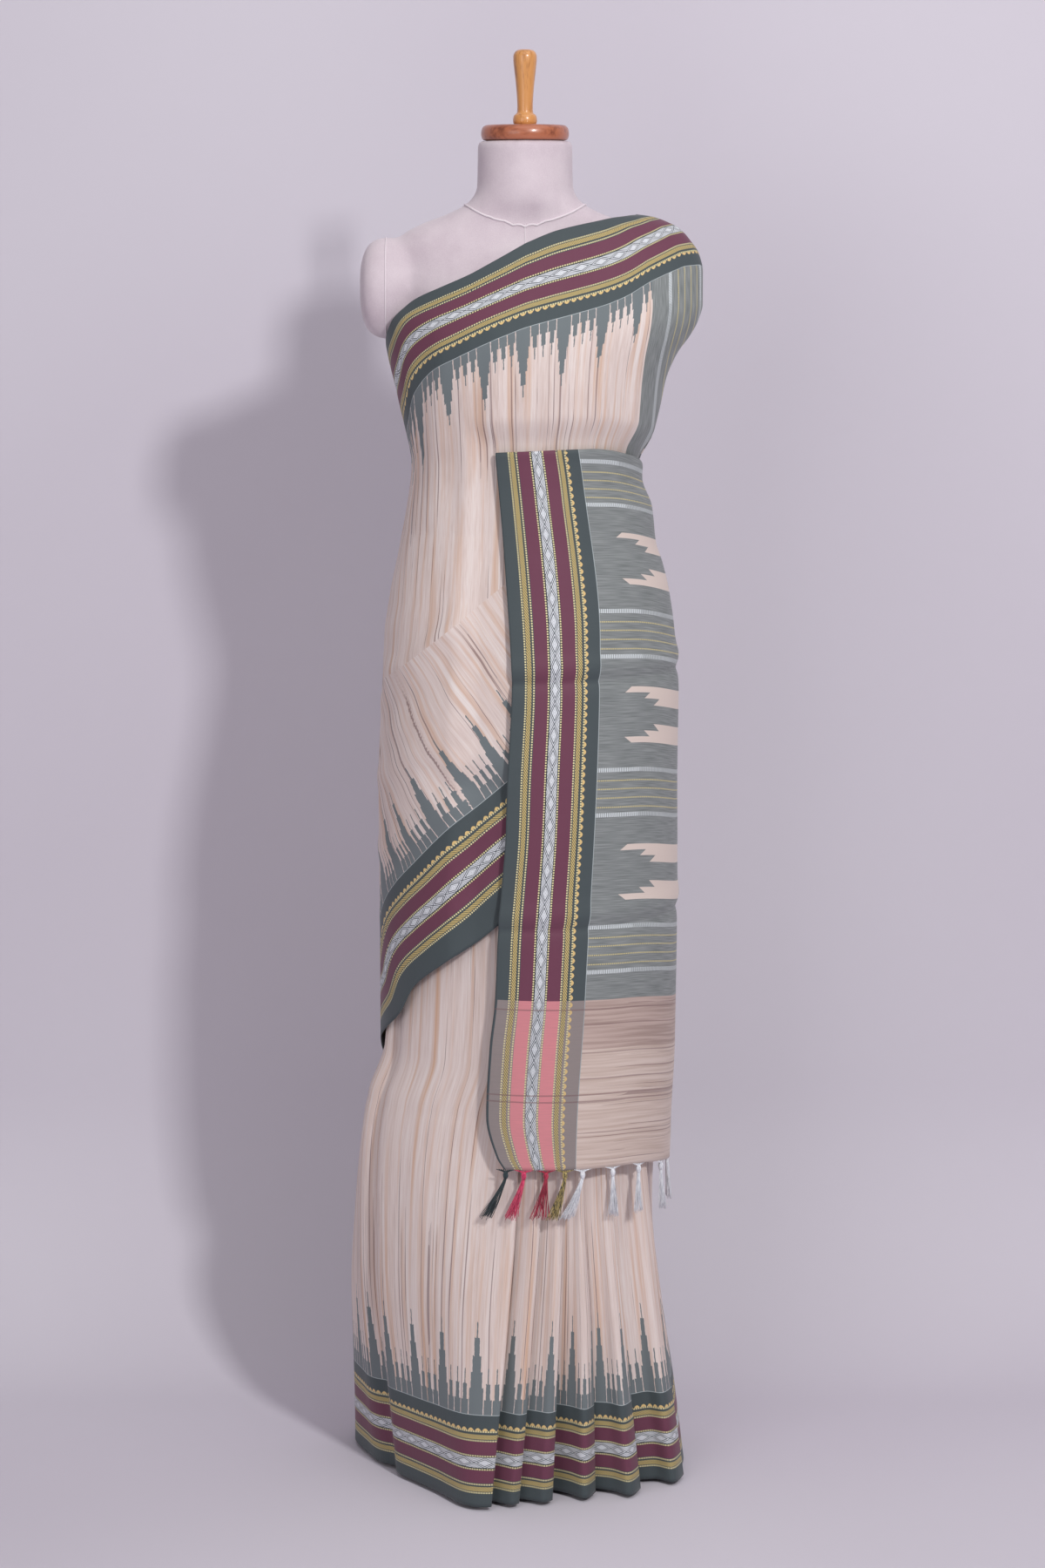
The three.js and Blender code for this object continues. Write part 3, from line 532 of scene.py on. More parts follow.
def chest_wrinkles(x, z):
    """Small soft folds: upright ones high on the drape, and pulled ones towards the left hip below."""
    high = smooth(1130, 1200, z) * (1 - smooth(1330, 1420, z))
    upright = 0.9 * np.sin(x / 9.5 + 1.1 * np.sin(z / 80)) + 0.6 * np.sin(x / 5.3 + 2 + 0.6 * np.sin(z / 60))
    low = smooth(640, 760, z) * (1 - smooth(1000, 1080, z))
    pulled = 0.9 * np.sin((z - 0.85 * x) / 13 + np.sin(x / 60)) + 0.6 * np.sin((z - 0.7 * x) / 7.1 + 1.4)
    return upright * high + pulled * low + stored(z, CHEST_STORAGE)


def chest_drape():
    c = np.linspace(0, 1, CHEST_COLUMNS)[None, :]
    t = np.linspace(0, 1, CHEST_ROWS)[:, None]
    upright = lerp(-90, SHOULDER_SEAM, c)
    low = along(LOWER_SELVEDGE, upright)
    high = along(UPPER_SELVEDGE, upright)
    z = lerp(low, high, 1 - (1 - t) ** 1.25)
    end = lerp(SIDE_SEAM + 7, SHOULDER_SEAM - 0.1, smooth(1222, 1290, z))
    angle = lerp(-89.88, end, c)
    smooth_grid = on_section(OUTER, z, angle, chest_inset(angle, z) - chest_creases(angle, z))
    grid = raised(smooth_grid, chest_wrinkles(smooth_grid[..., 0], z))

    # Upper border: away from the selvedge down each column, along it at the border's inner edge
    drop = lengths(smooth_grid[::-1], 0)[::-1]
    inner = along(UPPER_BORDER_INNER, upright)
    measured = np.array([[np.interp(inner[0, k], z[:, k], drop[:, k]) for k in range(CHEST_COLUMNS)]])
    upper_v = drop * BORDER / measured
    round_angle = np.linspace(-90, 120, 421)
    edge = on_section(OUTER, along(UPPER_BORDER_INNER, round_angle), round_angle)
    edge_arc = lengths(edge, 0)
    side = np.where(angle < 0, along(OUTER, z, "left") / WIDEST_LEFT, along(OUTER, z, "right") / WIDEST_RIGHT)
    narrowed = np.where(z < 1440, np.minimum(1, side) ** 0.6, 1)
    turned = np.degrees(np.arcsin(np.clip(np.sin(np.radians(angle)) * narrowed, -1, 1)))
    top_angle = np.where(angle > 90, 180 - turned, lerp(turned, angle, smooth(70, 90, -angle)))
    upper_u = np.interp(top_angle, round_angle, edge_arc)

    # Lower border: from the lower selvedge on the unrolled cloth
    reference = np.linspace(-90, 112, 203)
    section = on_section(OUTER, 700, reference)
    _, lower_u, lower_v = unrolled(angle, z, reference, section, LOWER_SELVEDGE, (-90, 92))
    from_fringe = PALLU_START - (upper_u - np.interp(PALLU_START_ANGLE, round_angle, edge_arc))
    maps = {"Lower": joined(lower_u, past_border(lower_v, HIP_TEMPLE)),
            "Upper": joined(upper_u, past_border(upper_v, CHEST_TEMPLE)),
            "Weft": joined(z - knee_line(smooth_grid[..., 0]), from_fringe)}
    return cloth_piece("chest_drape_cloth", grid, maps), from_fringe[:, -1], z[:, -1]


# Pallu down the back and brought to the front
def back_folds(angle, z):
    grown = 1 - 0.75 * smooth(1180, 1500, z)
    return grown * sum(depth * bump(angle, middle, width / 1.6)
                       for middle, width, depth in zip(*BACK_FOLDS.values()))


def pallu_back(shoulder_fringe, shoulder_z):
    """The cloth coordinates near the shoulder go on from the drape's own, given up its last column."""
    c = np.linspace(0, 1, 190)[None, :]
    t = np.linspace(0, 1, 160)[:, None]
    top_angle = lerp(SHOULDER_SEAM, PALLU_TOP_END, c)
    bottom = along(PANEL_BOTTOM, SIDE_SEAM)
    z = lerp(bottom, along(PALLU_TOP, top_angle), 1 - (1 - t) ** 1.5)
    seam = along(PALLU_SEAM, z) + 0.25
    angle = lerp(seam, along(PALLU_FREE, z), c)
    grid = on_section(OUTER, z, angle, back_folds(angle, z))
    across, up = lengths(grid, 1), lengths(grid, 0)
    straight = along(OUTER, z, "back") * np.radians(angle - SHOULDER_SEAM)
    carried = np.interp(z, shoulder_z, shoulder_fringe) - straight
    fringe = lerp(up, carried, smooth(1150, 1400, z))
    free = across[:, -1:] - across
    maps = {"Lower": joined(across, FAR), "Upper": joined(fringe, free), "Weft": joined(FAR, fringe)}
    return cloth_piece("pallu_back_cloth", grid, maps)


PANEL_COLUMNS = 150
PANEL_TOP_EASE = 11          # cloth taken up in the small folds near the panel's top
PANEL_ROWS = 190
PANEL_BORDER_INNER = {"z": [385, 450, 610, 1030, 1220, 1256], "x": [60, 61, 71, 88, 67, 62]}
PANEL_CREASES = {"z": [985, 694], "depth": [4.6, 4.0]}
# The inward fold at the panel's top, row by row
FOLD_INSET = [0.5, 1.4, 2.4, 3.4, 4.3, 4.7, 4.8, 4.8]
FOLD_DROP = np.array([1.8, 0.9, 0.6, 0.9, 1.8, 6, 30, 62])


def by_panel_row(shown, folded):
    """A number for each row that shows, then one for each row of the inward fold."""
    return np.concatenate([np.full(PANEL_ROWS - 1, shown), folded])[:, None]


def pallu_end():
    c = np.linspace(0, 1, PANEL_COLUMNS)[None, :]
    upright = lerp(PANEL_START, SIDE_SEAM, c)
    bottom = along(PANEL_BOTTOM, upright)
    top = along(PANEL_TOP, upright)
    rise = np.linspace(0, 1, PANEL_ROWS)[:-1, None]
    z = np.concatenate([lerp(bottom, top, rise), top - FOLD_DROP[:, None]])
    half = along(OUTER, z, "left")
    edge = np.degrees(np.arcsin(along(PANEL_EDGE, z) / half))
    angle = lerp(edge, SIDE_SEAM, c)
    plain = on_section(OUTER, z, angle, by_panel_row(0, FOLD_INSET))
    x = plain[..., 0]
    slope = 0.02 * x
    creases = sum(depth * (0.55 * bump(z, level + slope + 17, 12) - np.exp(-np.abs(z - level - slope) / 5))
                  for level, depth in zip(*PANEL_CREASES.values()))
    waves = (1.2 * np.sin(x / 38 + 0.8 * np.sin(z / 170)) + 0.9 * np.sin(z / 60 + x / 90)
             + 0.5 * np.sin(x / 17 + 1 + np.sin(z / 70))) * smooth(0, 60, z - bottom) * smooth(0, 40, top - z)
    grid = raised(plain, (creases + 0.6 * waves) * by_panel_row(1, 0 * FOLD_DROP))
    across = lengths(plain, 1)
    fringe = z - bottom + by_panel_row(0, 2 * FOLD_DROP) + PANEL_TOP_EASE * smooth(1090, 1230, z)
    inner_x = along(PANEL_BORDER_INNER, z)
    inner = np.array([[np.interp(inner_x[k, 0], x[k], across[k])] for k in range(len(z))])
    maps = {"Lower": joined(fringe, across * BORDER / inner), "Upper": joined(fringe, FAR),
            "Weft": joined(-FAR, fringe)}
    return cloth_piece("pallu_end_cloth", grid, maps)


# Materials
GREEN, MAROON, LINE_DARK = "485154", "6d3c50", "2f373b"
GOLD, ROPE_GOLD, DULL_GOLD, ORANGE_GOLD, WHITE = "e2d6a4", "d0b97c", "45493c", "dfc083", "e4e7ec"
TEMPLE, EDGE_LINE = "71797c", "a9b2b4"
TAIL_EDGE, TAIL_PINK, TAIL_GROUND, TAIL_BAND = "948885", "dd8b91", "d3c1b8", "c0aaa2"
BODY_DARK, BODY, BODY_LIGHT, TAN, SLUB = "c4ada2", "decec8", "ece4e0", "d0ac94", "75595a"
MOTIF, BAR_WHITE, STITCH_GOLD, LATTICE_DARK = "d9c9c0", "d3d9dc", "c8bb88", "2c323c"
PALLU_DARK, PALLU_LIGHT, SHOT_GREY = "727777", "909494", "5a6066"
TAIL_DARK, TAIL_BAND_DARK = "bfaa9f", "a48e86"

# Woven border, in millimetres from the selvedge
DOT_ROWS = [17.1, 27.1, 45.1, 61.1, 79.1, 90]
DOT_PITCH = 3
DOT_RADIUS = 1.05
ROPES = [21.5, 83.7]
ROPE_HALF = 2.7
ROPE_PITCH = 3.6
LATTICE_MIDDLE = 53.1
LATTICE_HALF = 5.9
LATTICE_REPEAT = 26.5
SCALLOP_START = 91
SCALLOP_PITCH = 8.8
SCALLOP_HEIGHT = 3.2
BORDER_STRIPES = {
    "from": [0, 2.6, 28.5, 44, 47.2, 59, 62.2, 78, 109],
    "colour": [GREEN, GREEN, MAROON, LINE_DARK, WHITE, LINE_DARK, MAROON, GREEN, EDGE_LINE],
    "tail": [GREEN, TAIL_EDGE, TAIL_PINK, TAIL_EDGE, WHITE, TAIL_EDGE, TAIL_PINK, TAIL_EDGE, EDGE_LINE],
}

# Temple spires past the border: widths by height
TEMPLE_REPEAT = 50
TEMPLE_HEIGHT = 109
BIG_SPIRE = {"from": [0, 31, 49.5, 69, 90, 109], "width": [17.5, 14, 10.5, 6.5, 1.5, 0]}
SMALL_SPIRE = {"from": [0, 17, 36, 54], "width": [9.5, 5.2, 1.3, 0]}
BIG_ROOM = 18.5
SMALL_ROOM = 10.5

# Pallu by distance from its fringe
TAIL_LENGTH = 203
TAIL_LIGHT = 144
TAIL_LINES = [82, 90, 192]
FIRST_STRIPES = 234
STRIPES_REPEAT = 186
WHITE_BARS = [2.5, 55.5]
WHITE_BAR_HALF = 2.5
GOLD_LINES = [11.5, 22.5, 33, 43]
MOTIF_MIDDLE = 120
MOTIF_BARS = {"inner": [26, 19, 11], "outer": [33, 26, 19], "start": [36, 68, 86]}


def colour(code):
    """A linear colour from its written form."""
    channels = [int(code[i:i + 2], 16) / 255 for i in (0, 2, 4)]
    return tuple(c / 12.92 if c <= 0.04045 else ((c + 0.055) / 1.055) ** 2.4 for c in channels) + (1.0,)


class Field:
    """A number that varies over a surface. Arithmetic on it adds math nodes."""

    def __init__(self, tree, socket):
        self.tree, self.socket = tree, socket

    def node(self, operation, *others):
        node = self.tree.nodes.new("ShaderNodeMath")
        node.operation = operation
        for socket, value in zip(node.inputs, (self, *others)):
            if isinstance(value, Field):
                self.tree.links.new(value.socket, socket)
            else:
                socket.default_value = value
        return Field(self.tree, node.outputs[0])

    def inverse(self):
        return self * -1 + 1

    def nearest(self, places):
        """Distance to the nearest of several places."""
        distance = abs(self - places[0])
        for place in places[1:]:
            distance = distance.least(abs(self - place))
        return distance


FIELD_MATH = {
    "__add__": "ADD", "__sub__": "SUBTRACT", "__mul__": "MULTIPLY", "__truediv__": "DIVIDE",
    "__mod__": "FLOORED_MODULO", "__abs__": "ABSOLUTE", "__lt__": "LESS_THAN", "__gt__": "GREATER_THAN",
    "least": "MINIMUM", "most": "MAXIMUM",
}
for method, operation in FIELD_MATH.items():
    setattr(Field, method, partialmethod(Field.node, operation))


class Surface:
    """A new material on a principled shader, with short ways to add nodes."""

    def __init__(self, name, roughness, **sockets):
        self.material = bpy.data.materials.new(name)
        self.material.use_nodes = True
        self.tree = self.material.node_tree
        self.shader = self.tree.nodes["Principled BSDF"]
        self.put("Roughness", roughness)
        for socket, value in sockets.items():
            self.put(socket.replace("_", " "), value)

    def put(self, name, value):
        self.plug(self.shader.inputs[name], value)

    def plug(self, socket, value):
        if isinstance(value, Field):
            value = value.socket
        if isinstance(value, bpy.types.NodeSocket):
            self.tree.links.new(value, socket)
        else:
            socket.default_value = value

    def node(self, kind, inputs, output=0, **settings):
        node = self.tree.nodes.new(kind)
        for name, value in settings.items():
            setattr(node, name, value)
        for name, value in inputs.items():
            self.plug(node.inputs[name], value)
        return node.outputs[output]

    def number(self, socket):
        return Field(self.tree, socket)

    def millimetres(self, vector, count):
        parts = self.tree.nodes.new("ShaderNodeSeparateXYZ")
        self.plug(parts.inputs[0], vector)
        return [self.number(parts.outputs[i]) / MM for i in range(count)]

    def uv(self, name):
        """The two cloth coordinates of a UV map."""
        return self.millimetres(self.node("ShaderNodeUVMap", {}, uv_map=name), 2)

    def position(self):
        """Object coordinates."""
        return self.millimetres(self.node("ShaderNodeTexCoord", {}, "Object"), 3)

    def noise(self, x, y, z=0.0, detail=2.0):
        """Noise from 0 to 1 at coordinates that are already scaled."""
        place = self.node("ShaderNodeCombineXYZ", {"X": x, "Y": y, "Z": z})
        return self.number(self.node("ShaderNodeTexNoise", {"Vector": place, "Scale": 1.0, "Detail": detail}))

    def ramp(self, value, stops, constant=False):
        """A colour from (place, colour code) stops."""
        node = self.tree.nodes.new("ShaderNodeValToRGB")
        node.color_ramp.interpolation = "CONSTANT" if constant else "LINEAR"
        elements = node.color_ramp.elements
        while len(elements) < len(stops):
            elements.new(0.5)
        for element, (place, code) in zip(elements, stops):
            element.position = place
            element.color = colour(code) if isinstance(code, str) else (code, code, code, 1)
        self.plug(node.inputs[0], value)
        return node.outputs[0]

    def steps(self, value, rows, name, span):
        """One column of a stepped table, by its column "from", as a field."""
        stops = [(low / span, number / span) for low, number in zip(rows["from"], rows[name])]
        return self.number(self.ramp(value / span, stops, True)) * span

    def blend(self, share, first, second):
        node = self.tree.nodes.new("ShaderNodeMix")
        node.data_type = "RGBA"
        for socket, value in zip((node.inputs[0], node.inputs[6], node.inputs[7]), (share, first, second)):
            self.plug(socket, colour(value) if isinstance(value, str) else value)
        return node.outputs[2]

    def bump(self, height, distance, strength=1.0):
        inputs = {"Height": height, "Distance": distance, "Strength": strength}
        self.put("Normal", self.node("ShaderNodeBump", inputs))


def border_colours(silk, u, v, tail):
    """The woven border's colour and where its raised gold lies."""
    places = [low / BORDER for low in BORDER_STRIPES["from"]]
    stripes = [silk.ramp(v / BORDER, list(zip(places, BORDER_STRIPES[key])), True)
               for key in ("colour", "tail")]
    ground = silk.blend(tail, *stripes)
    across = abs(u % LATTICE_REPEAT - LATTICE_REPEAT / 2) / (LATTICE_REPEAT / 2)
    away = abs(v - LATTICE_MIDDLE) / LATTICE_HALF
    rings = (across + away) * 3
    line = abs((rings + 0.4) % 1 - 0.5) < 0.29
    strength = (rings > 1.5) * 0.6 - (rings > 3.8) * 0.3 + 0.3
    ground = silk.blend(line * (away < 1) * strength, ground, LATTICE_DARK)
    rope_place = v.nearest(ROPES)
    in_rope = rope_place < ROPE_HALF
    ground = silk.blend(in_rope, ground, DULL_GOLD)
    strand = (u + v * 1.5) % ROPE_PITCH < ROPE_PITCH * 0.64
    off_row, off_dot = v.nearest(DOT_ROWS), u % DOT_PITCH - DOT_PITCH / 2
    dots = off_row * off_row + off_dot * off_dot < DOT_RADIUS ** 2
    ground = silk.blend(in_rope * strand, ground, ROPE_GOLD)
    ground = silk.blend(dots, ground, GOLD)
    gold = (in_rope * strand).most(dots)
    turn = u % SCALLOP_PITCH / (SCALLOP_PITCH / 2) - 1
    scallop = (v > SCALLOP_START) * (v < (turn * turn * 1.35).inverse() * SCALLOP_HEIGHT + SCALLOP_START)
    return silk.blend(scallop, ground, ORANGE_GOLD), gold.most(scallop)


def temple_mask(silk, u, v, ragged):
    """Where the stepped spires stand past the border."""
    height = v - BORDER + ragged * 3
    place = u % TEMPLE_REPEAT

    def spires(across, room, steps):
        half = silk.steps(height, steps, "width", TEMPLE_HEIGHT + 1) / 2
        return (abs(across - room / 2) + ragged < half) * (half > 0.1)

    big = spires(place, BIG_ROOM, BIG_SPIRE)
    small = spires((place - BIG_ROOM) % SMALL_ROOM, SMALL_ROOM, SMALL_SPIRE)
    return big.most(small * (place > BIG_ROOM)) * (v > BORDER)


def pallu_colours(silk, v, fringe, fine):
    """The grey pallu's ground, bars, dotted lines and stepped motifs."""
    beyond = v - BORDER
    place = (fringe - FIRST_STRIPES) % STRIPES_REPEAT
    ground = silk.ramp(fine, [(0.3, PALLU_DARK), (0.7, PALLU_LIGHT)])
    ladder = (v % 2.6 < 1.7) * ((beyond > 62) * -0.3 + 0.95)
    ground = silk.blend((place.nearest(WHITE_BARS) < WHITE_BAR_HALF) * ladder, ground, BAR_WHITE)
    stitches = (place.nearest(GOLD_LINES) < 0.75) * (v % 2.8 < 1.9)
    ground = silk.blend(stitches, ground, STITCH_GOLD)
    off = abs(place - MOTIF_MIDDLE)
    motif = None
    for inner, outer, start in zip(*MOTIF_BARS.values()):
        bar = (off > inner) * (off < outer) * (beyond > (off - inner) * 1.5 + start)
        motif = bar if motif is None else motif.most(bar)
    return silk.blend(motif, ground, MOTIF)


def choose(share, first, second):
    return first * share + second * share.inverse()


def saree_silk():
    silk = Surface("saree_silk", 0.7, Sheen_Weight=0.12, Sheen_Roughness=0.5, Specular_IOR_Level=0.3)
    lower_u, lower_v = silk.uv("Lower")
    upper_u, upper_v = silk.uv("Upper")
    knee, fringe = silk.uv("Weft")
    from_lower = lower_v < upper_v
    v = lower_v.least(upper_v)
    u = choose(from_lower, lower_u, upper_u)
    hanging = knee > 0
    streak = choose(hanging, upper_u, lower_u)
    run = choose(hanging, upper_v, lower_v)

    broad = silk.noise(streak / 14, run / 420, 3.0, 3.0)
    narrow = silk.noise(streak / 3.4, run / 150, 8.0, 3.0)
    fine = silk.noise(streak / 1.1, run / 34, 15.0, 1.0)
    slub = silk.noise(streak / 2.4, run / 500, 30.0, 0.0)
    worn = silk.noise(streak / 9, run / 80, 50.0, 1.0)
    ragged = (silk.noise(u / 0.9, v / 5, 40.0, 1.0) - 0.5) * 1.3

    tone = broad * 0.4 + narrow * 0.35 + fine * 0.25
    body = silk.ramp(tone, [(0.28, BODY_DARK), (0.5, BODY), (0.72, BODY_LIGHT)])
    tan = silk.noise(streak / 7, run / 350, 70.0, 2.0)
    body = silk.blend((tan > 0.5) * (tan - 0.5) * 4, body, TAN)
    slub = slub + worn * 0.2
    body = silk.blend((slub > 0.8) * 0.3 + (slub > 0.84) * 0.35, body, SLUB)
    in_pallu = fringe < PALLU_START
    tail = fringe < TAIL_LENGTH
    tail_ground = silk.blend(fringe > TAIL_LIGHT, silk.ramp(narrow, [(0.35, TAIL_DARK), (0.6, TAIL_GROUND)]),
                             silk.ramp(narrow, [(0.35, TAIL_BAND_DARK), (0.6, TAIL_BAND)]))
    tail_ground = silk.blend((slub > 0.82) * 0.5, tail_ground, SLUB)

    body = silk.blend(temple_mask(silk, u, v, ragged), body, TEMPLE)
    pallu = silk.blend(tail, pallu_colours(silk, v, fringe, fine), tail_ground)
    ground = silk.blend(in_pallu, body, pallu)
    border, raised = border_colours(silk, u, v, tail)
    shot = silk.blend(fine * 0.3, border, silk.blend(tail, border, SHOT_GREY))
    in_border = v < BORDER
    thick_pick = (fringe.nearest(TAIL_LINES) < 0.9) * 0.55
    silk.put("Base Color", silk.blend(thick_pick, silk.blend(in_border, ground, shot), SLUB))
    silk.put("Roughness", in_border * -0.12 + narrow * 0.15 + 0.68)
    silk.bump(fine * 0.5 + narrow * 0.5 + raised * in_border * 0.9, 0.0003, 0.7)
    return silk.material


def yarn(name, code, dark):
    """Twisted yarn, its colour uneven along each strand."""
    thread = Surface(name, 0.75, Sheen_Weight=0.2, Specular_IOR_Level=0.3)
    x, y, z = thread.position()
    tone = thread.noise(x / 1.2, y / 1.2, z / 9)
    thread.put("Base Color", thread.ramp(tone, [(0.35, dark), (0.6, code)]))
    return thread.material


def cotton_cover():
    """Matte knitted cover, lightly mottled, with a fine weave."""
    cover = Surface("form_cover", 0.9, Sheen_Weight=0.25, Sheen_Roughness=0.6, Specular_IOR_Level=0.2)
    x, y, z = cover.position()
    patches = cover.noise(x / 42, y / 42, z / 42, 4.0)
    knit = cover.noise(x / 1.3, y / 1.3, z / 1.6, 2.0)
    tone = patches * 0.7 + knit * 0.3
    cover.put("Base Color", cover.ramp(tone, [(0.3, "c6b6bf"), (0.5, "d2c4cb"), (0.68, "dacdd3")]))
    cover.bump(cover.noise(x / 0.9, y / 0.9, z / 0.9, 1.0), 0.0003, 0.5)
    return cover.material


def varnished_wood(name, light, dark, grain):
    """Turned wood under varnish. grain is how far its streaks run along x, y and z, in millimetres."""
    wood = Surface(name, 0.35, Coat_Weight=0.5, Coat_Roughness=0.18)
    x, y, z = wood.position()
    bend = wood.noise(x / 40, y / 40, z / 40, 2.0) * 1.5
    rings = wood.noise(x / grain[0] + bend, y / grain[1] + bend, z / grain[2], 4.0)
    pores = wood.noise(x / (grain[0] * 0.2), y / (grain[1] * 0.2), z / (grain[2] * 0.4), 2.0)
    tone = rings * 0.7 + pores * 0.3
    wood.put("Base Color", wood.ramp(tone, [(0.34, dark), (0.5, light), (0.68, light)]))
    wood.put("Roughness", pores * 0.15 + 0.28)
    wood.bump(tone, 0.0002, 0.3)
    return wood.material


def metal(name, code, roughness, metallic):
    """Metal or its paint, with faint turning marks."""
    finish = Surface(name, roughness, Metallic=metallic)
    x, y, z = finish.position()
    marks = finish.noise(x / 20, y / 20, z / 0.6, 2.0)
    finish.put("Base Color", colour(code))
    finish.put("Roughness", marks * 0.15 + roughness - 0.07)
    finish.bump(marks, 0.0001, 0.3)
    return finish.material


# Dress form
COVER_VOXEL = 0.0045
ARM = {
    "x": [112, 150, 168, 182, 191, 196],
    "height": [50, 59, 60, 55, 43, 24],
    "depth": [36, 42, 43, 40, 32, 18],
}
ARM_Z = 1441
FORM_LOW_Z = 700
FORM_TOP_Z = 1614


def ringed(rings):
    """Points and quads of a tube through closed rings, with a fan of quads closing each end."""
    count, size = rings.shape[:2]
    index = np.arange(count * size).reshape(count, size)
    after = np.roll(index, -1, 1)
    quads = np.stack([index[:-1], after[:-1], after[1:], index[1:]], -1).reshape(-1, 4)
    points = np.concatenate([rings.reshape(-1, 3), rings[:1].mean(1), rings[-1:].mean(1)])
    middle = count * size
    even = np.arange(0, size, 2)
    low_end, high_end = ([ring[(even + k) % size] for k in range(3)] for ring in (index[0], index[-1]))
    ends = [np.stack([np.full(len(even), middle), *low_end[::-1]], -1),
            np.stack([np.full(len(even), middle + 1), *high_end], -1)]
    return points, np.concatenate([quads, *ends])


def merged(parts):
    """Several (points, faces) pairs as one."""
    offsets = np.cumsum([0] + [len(points) for points, _ in parts[:-1]])
    return (np.concatenate([points for points, _ in parts]),
            np.concatenate([faces + offset for (_, faces), offset in zip(parts, offsets)]))


def applied(piece):
    """The piece with its modifiers made real."""
    evaluated = piece.evaluated_get(bpy.context.evaluated_depsgraph_get())
    mesh = bpy.data.meshes.new_from_object(evaluated)
    piece.modifiers.clear()
    piece.data = mesh
    mesh.polygons.foreach_set("use_smooth", np.ones(len(mesh.polygons), bool))
    return piece


def form_cover():
    turn = np.radians(np.arange(0, 360, 4))[None, :]
    z = np.concatenate([np.linspace(FORM_LOW_Z, 708, 3), np.linspace(716, 1480, 90),
                        np.linspace(1483, FORM_TOP_Z, 45)])[:, None]
    depth = np.where(np.cos(turn) > 0, along(FORM, z, "front"), along(FORM, z, "back"))
    torso = joined(along(FORM, z, "half") * np.sin(turn), -depth * np.cos(turn), z)
    x = np.concatenate([np.linspace(112, 182, 12), np.linspace(185, 196, 7)])[:, None]
    arms = []
    for side in (-1, 1):
        rings = joined(side * x, along(ARM, x, "depth") * np.cos(turn),
                       ARM_Z + along(ARM, x, "height") * np.sin(turn))
        points, faces = ringed(rings)
        arms.append((points, faces[:, ::-side]))
    points, faces = ringed(torso)
    piece = mesh_from("form_cover", *merged([(points, faces[:, ::-1]), *arms]))
    remesh = piece.modifiers.new("remesh", "REMESH")
    remesh.mode, remesh.voxel_size = "VOXEL", COVER_VOXEL
    soften = piece.modifiers.new("soften", "SMOOTH")
    soften.factor, soften.iterations = 0.5, 8
    return applied(piece)


def seam_on(name, surface, path, radius):
    """A thin sewn ridge along a path, laid on a surface."""
    route = []
    for point in path:
        _, place, normal, _ = surface.closest_point_on_mesh(Vector(point * MM))
        route.append(place + normal * radius * 0.4 * MM)
    curve = bpy.data.curves.new(name, "CURVE")
    curve.dimensions = "3D"
    curve.bevel_depth = radius * MM
    curve.bevel_resolution = 2
    line = curve.splines.new("POLY")
    line.points.add(len(route) - 1)
    for spot, place in zip(line.points, route):
        spot.co = (*place, 1)
    return in_scene(name, curve)


def form_seams(cover):
    turn = np.radians(np.arange(0, 361, 4))
    dip = 1540 - 23 * (np.cos(turn) > 0) * np.cos(turn) ** 2 - 8 * (np.cos(turn) < 0) * np.cos(turn) ** 2
    neck = joined(72 * np.sin(turn), -62 * np.cos(turn), dip)
    down = np.linspace(1516, 1400, 24)
    centre = joined(0, -lerp(48, 104, (1516 - down) / 116), down)
    pieces = [seam_on("neck_seam", cover, neck, 1.3), seam_on("centre_seam", cover, centre, 0.8)]
    for side, name in ((-1, "left"), (1, "right")):
        ring = joined(side * 165, 44 * np.cos(turn), ARM_Z + 62 * np.sin(turn))
        pieces.append(seam_on(f"{name}_arm_seam", cover, ring, 0.8))
    return pieces


def turned(name, profile, segments=128):
    """A turned piece from (radius, height) points in millimetres, its profile rounded between them."""
    path = np.array([profile], float)
    fine = refined(path, 5)[0]
    fine = np.clip(fine, [0.02, path[0, :, 1].min()], [np.inf, path[0, :, 1].max()])
    angle = 2 * np.pi * np.arange(segments) / segments
    radius, height = fine[:, :1], fine[:, 1:]
    return mesh_from(name, *ringed(joined(radius * np.cos(angle), radius * np.sin(angle), height)))


SEAT_GAP = 0.3
DISC_Z = FORM_TOP_Z + SEAT_GAP
DISC_HEIGHT = 18
HANDLE_Z = DISC_Z + DISC_HEIGHT + SEAT_GAP
BASE_RADIUS = 128
BASE_HEIGHT = 20
COLLAR_TOP = 28
POLE_RADIUS = 16


def neck_cap():
    disc = [(0, 0), (24, 0), (47, 0), (50.2, 1.2), (51.8, 5), (52, 10), (50.4, 15), (47, 17.6),
            (44, DISC_HEIGHT), (22, DISC_HEIGHT), (0, DISC_HEIGHT)]
    handle = [(0, 0), (6, 0), (12, 0), (13.9, 2.6), (14.2, 7), (13, 11), (9.8, 14), (9.2, 19),
              (9.8, 34), (11.2, 50), (13, 66), (13.9, 76), (13.4, 82), (10.6, 86), (6, 87.6), (0, 88)]
    return (turned("cap_disc", [(r, DISC_Z + z) for r, z in disc]),
            turned("cap_handle", [(r, HANDLE_Z + z) for r, z in handle]))


def stand():
    low, high = COLLAR_TOP + SEAT_GAP, FORM_LOW_Z - SEAT_GAP
    pole = [(0, low), (POLE_RADIUS - 1, low), (POLE_RADIUS, low + 1),
            (POLE_RADIUS, high - 1), (POLE_RADIUS - 1, high), (0, high)]
    base = [(0, 0), (BASE_RADIUS - 1, 0), (BASE_RADIUS, 1), (BASE_RADIUS, 8), (BASE_RADIUS - 4, 13),
            (60, BASE_HEIGHT), (27, BASE_HEIGHT), (25.5, BASE_HEIGHT + 1.5), (24.5, COLLAR_TOP - 1),
            (22, COLLAR_TOP), (0, COLLAR_TOP)]
    return turned("pole", pole), turned("base", base)


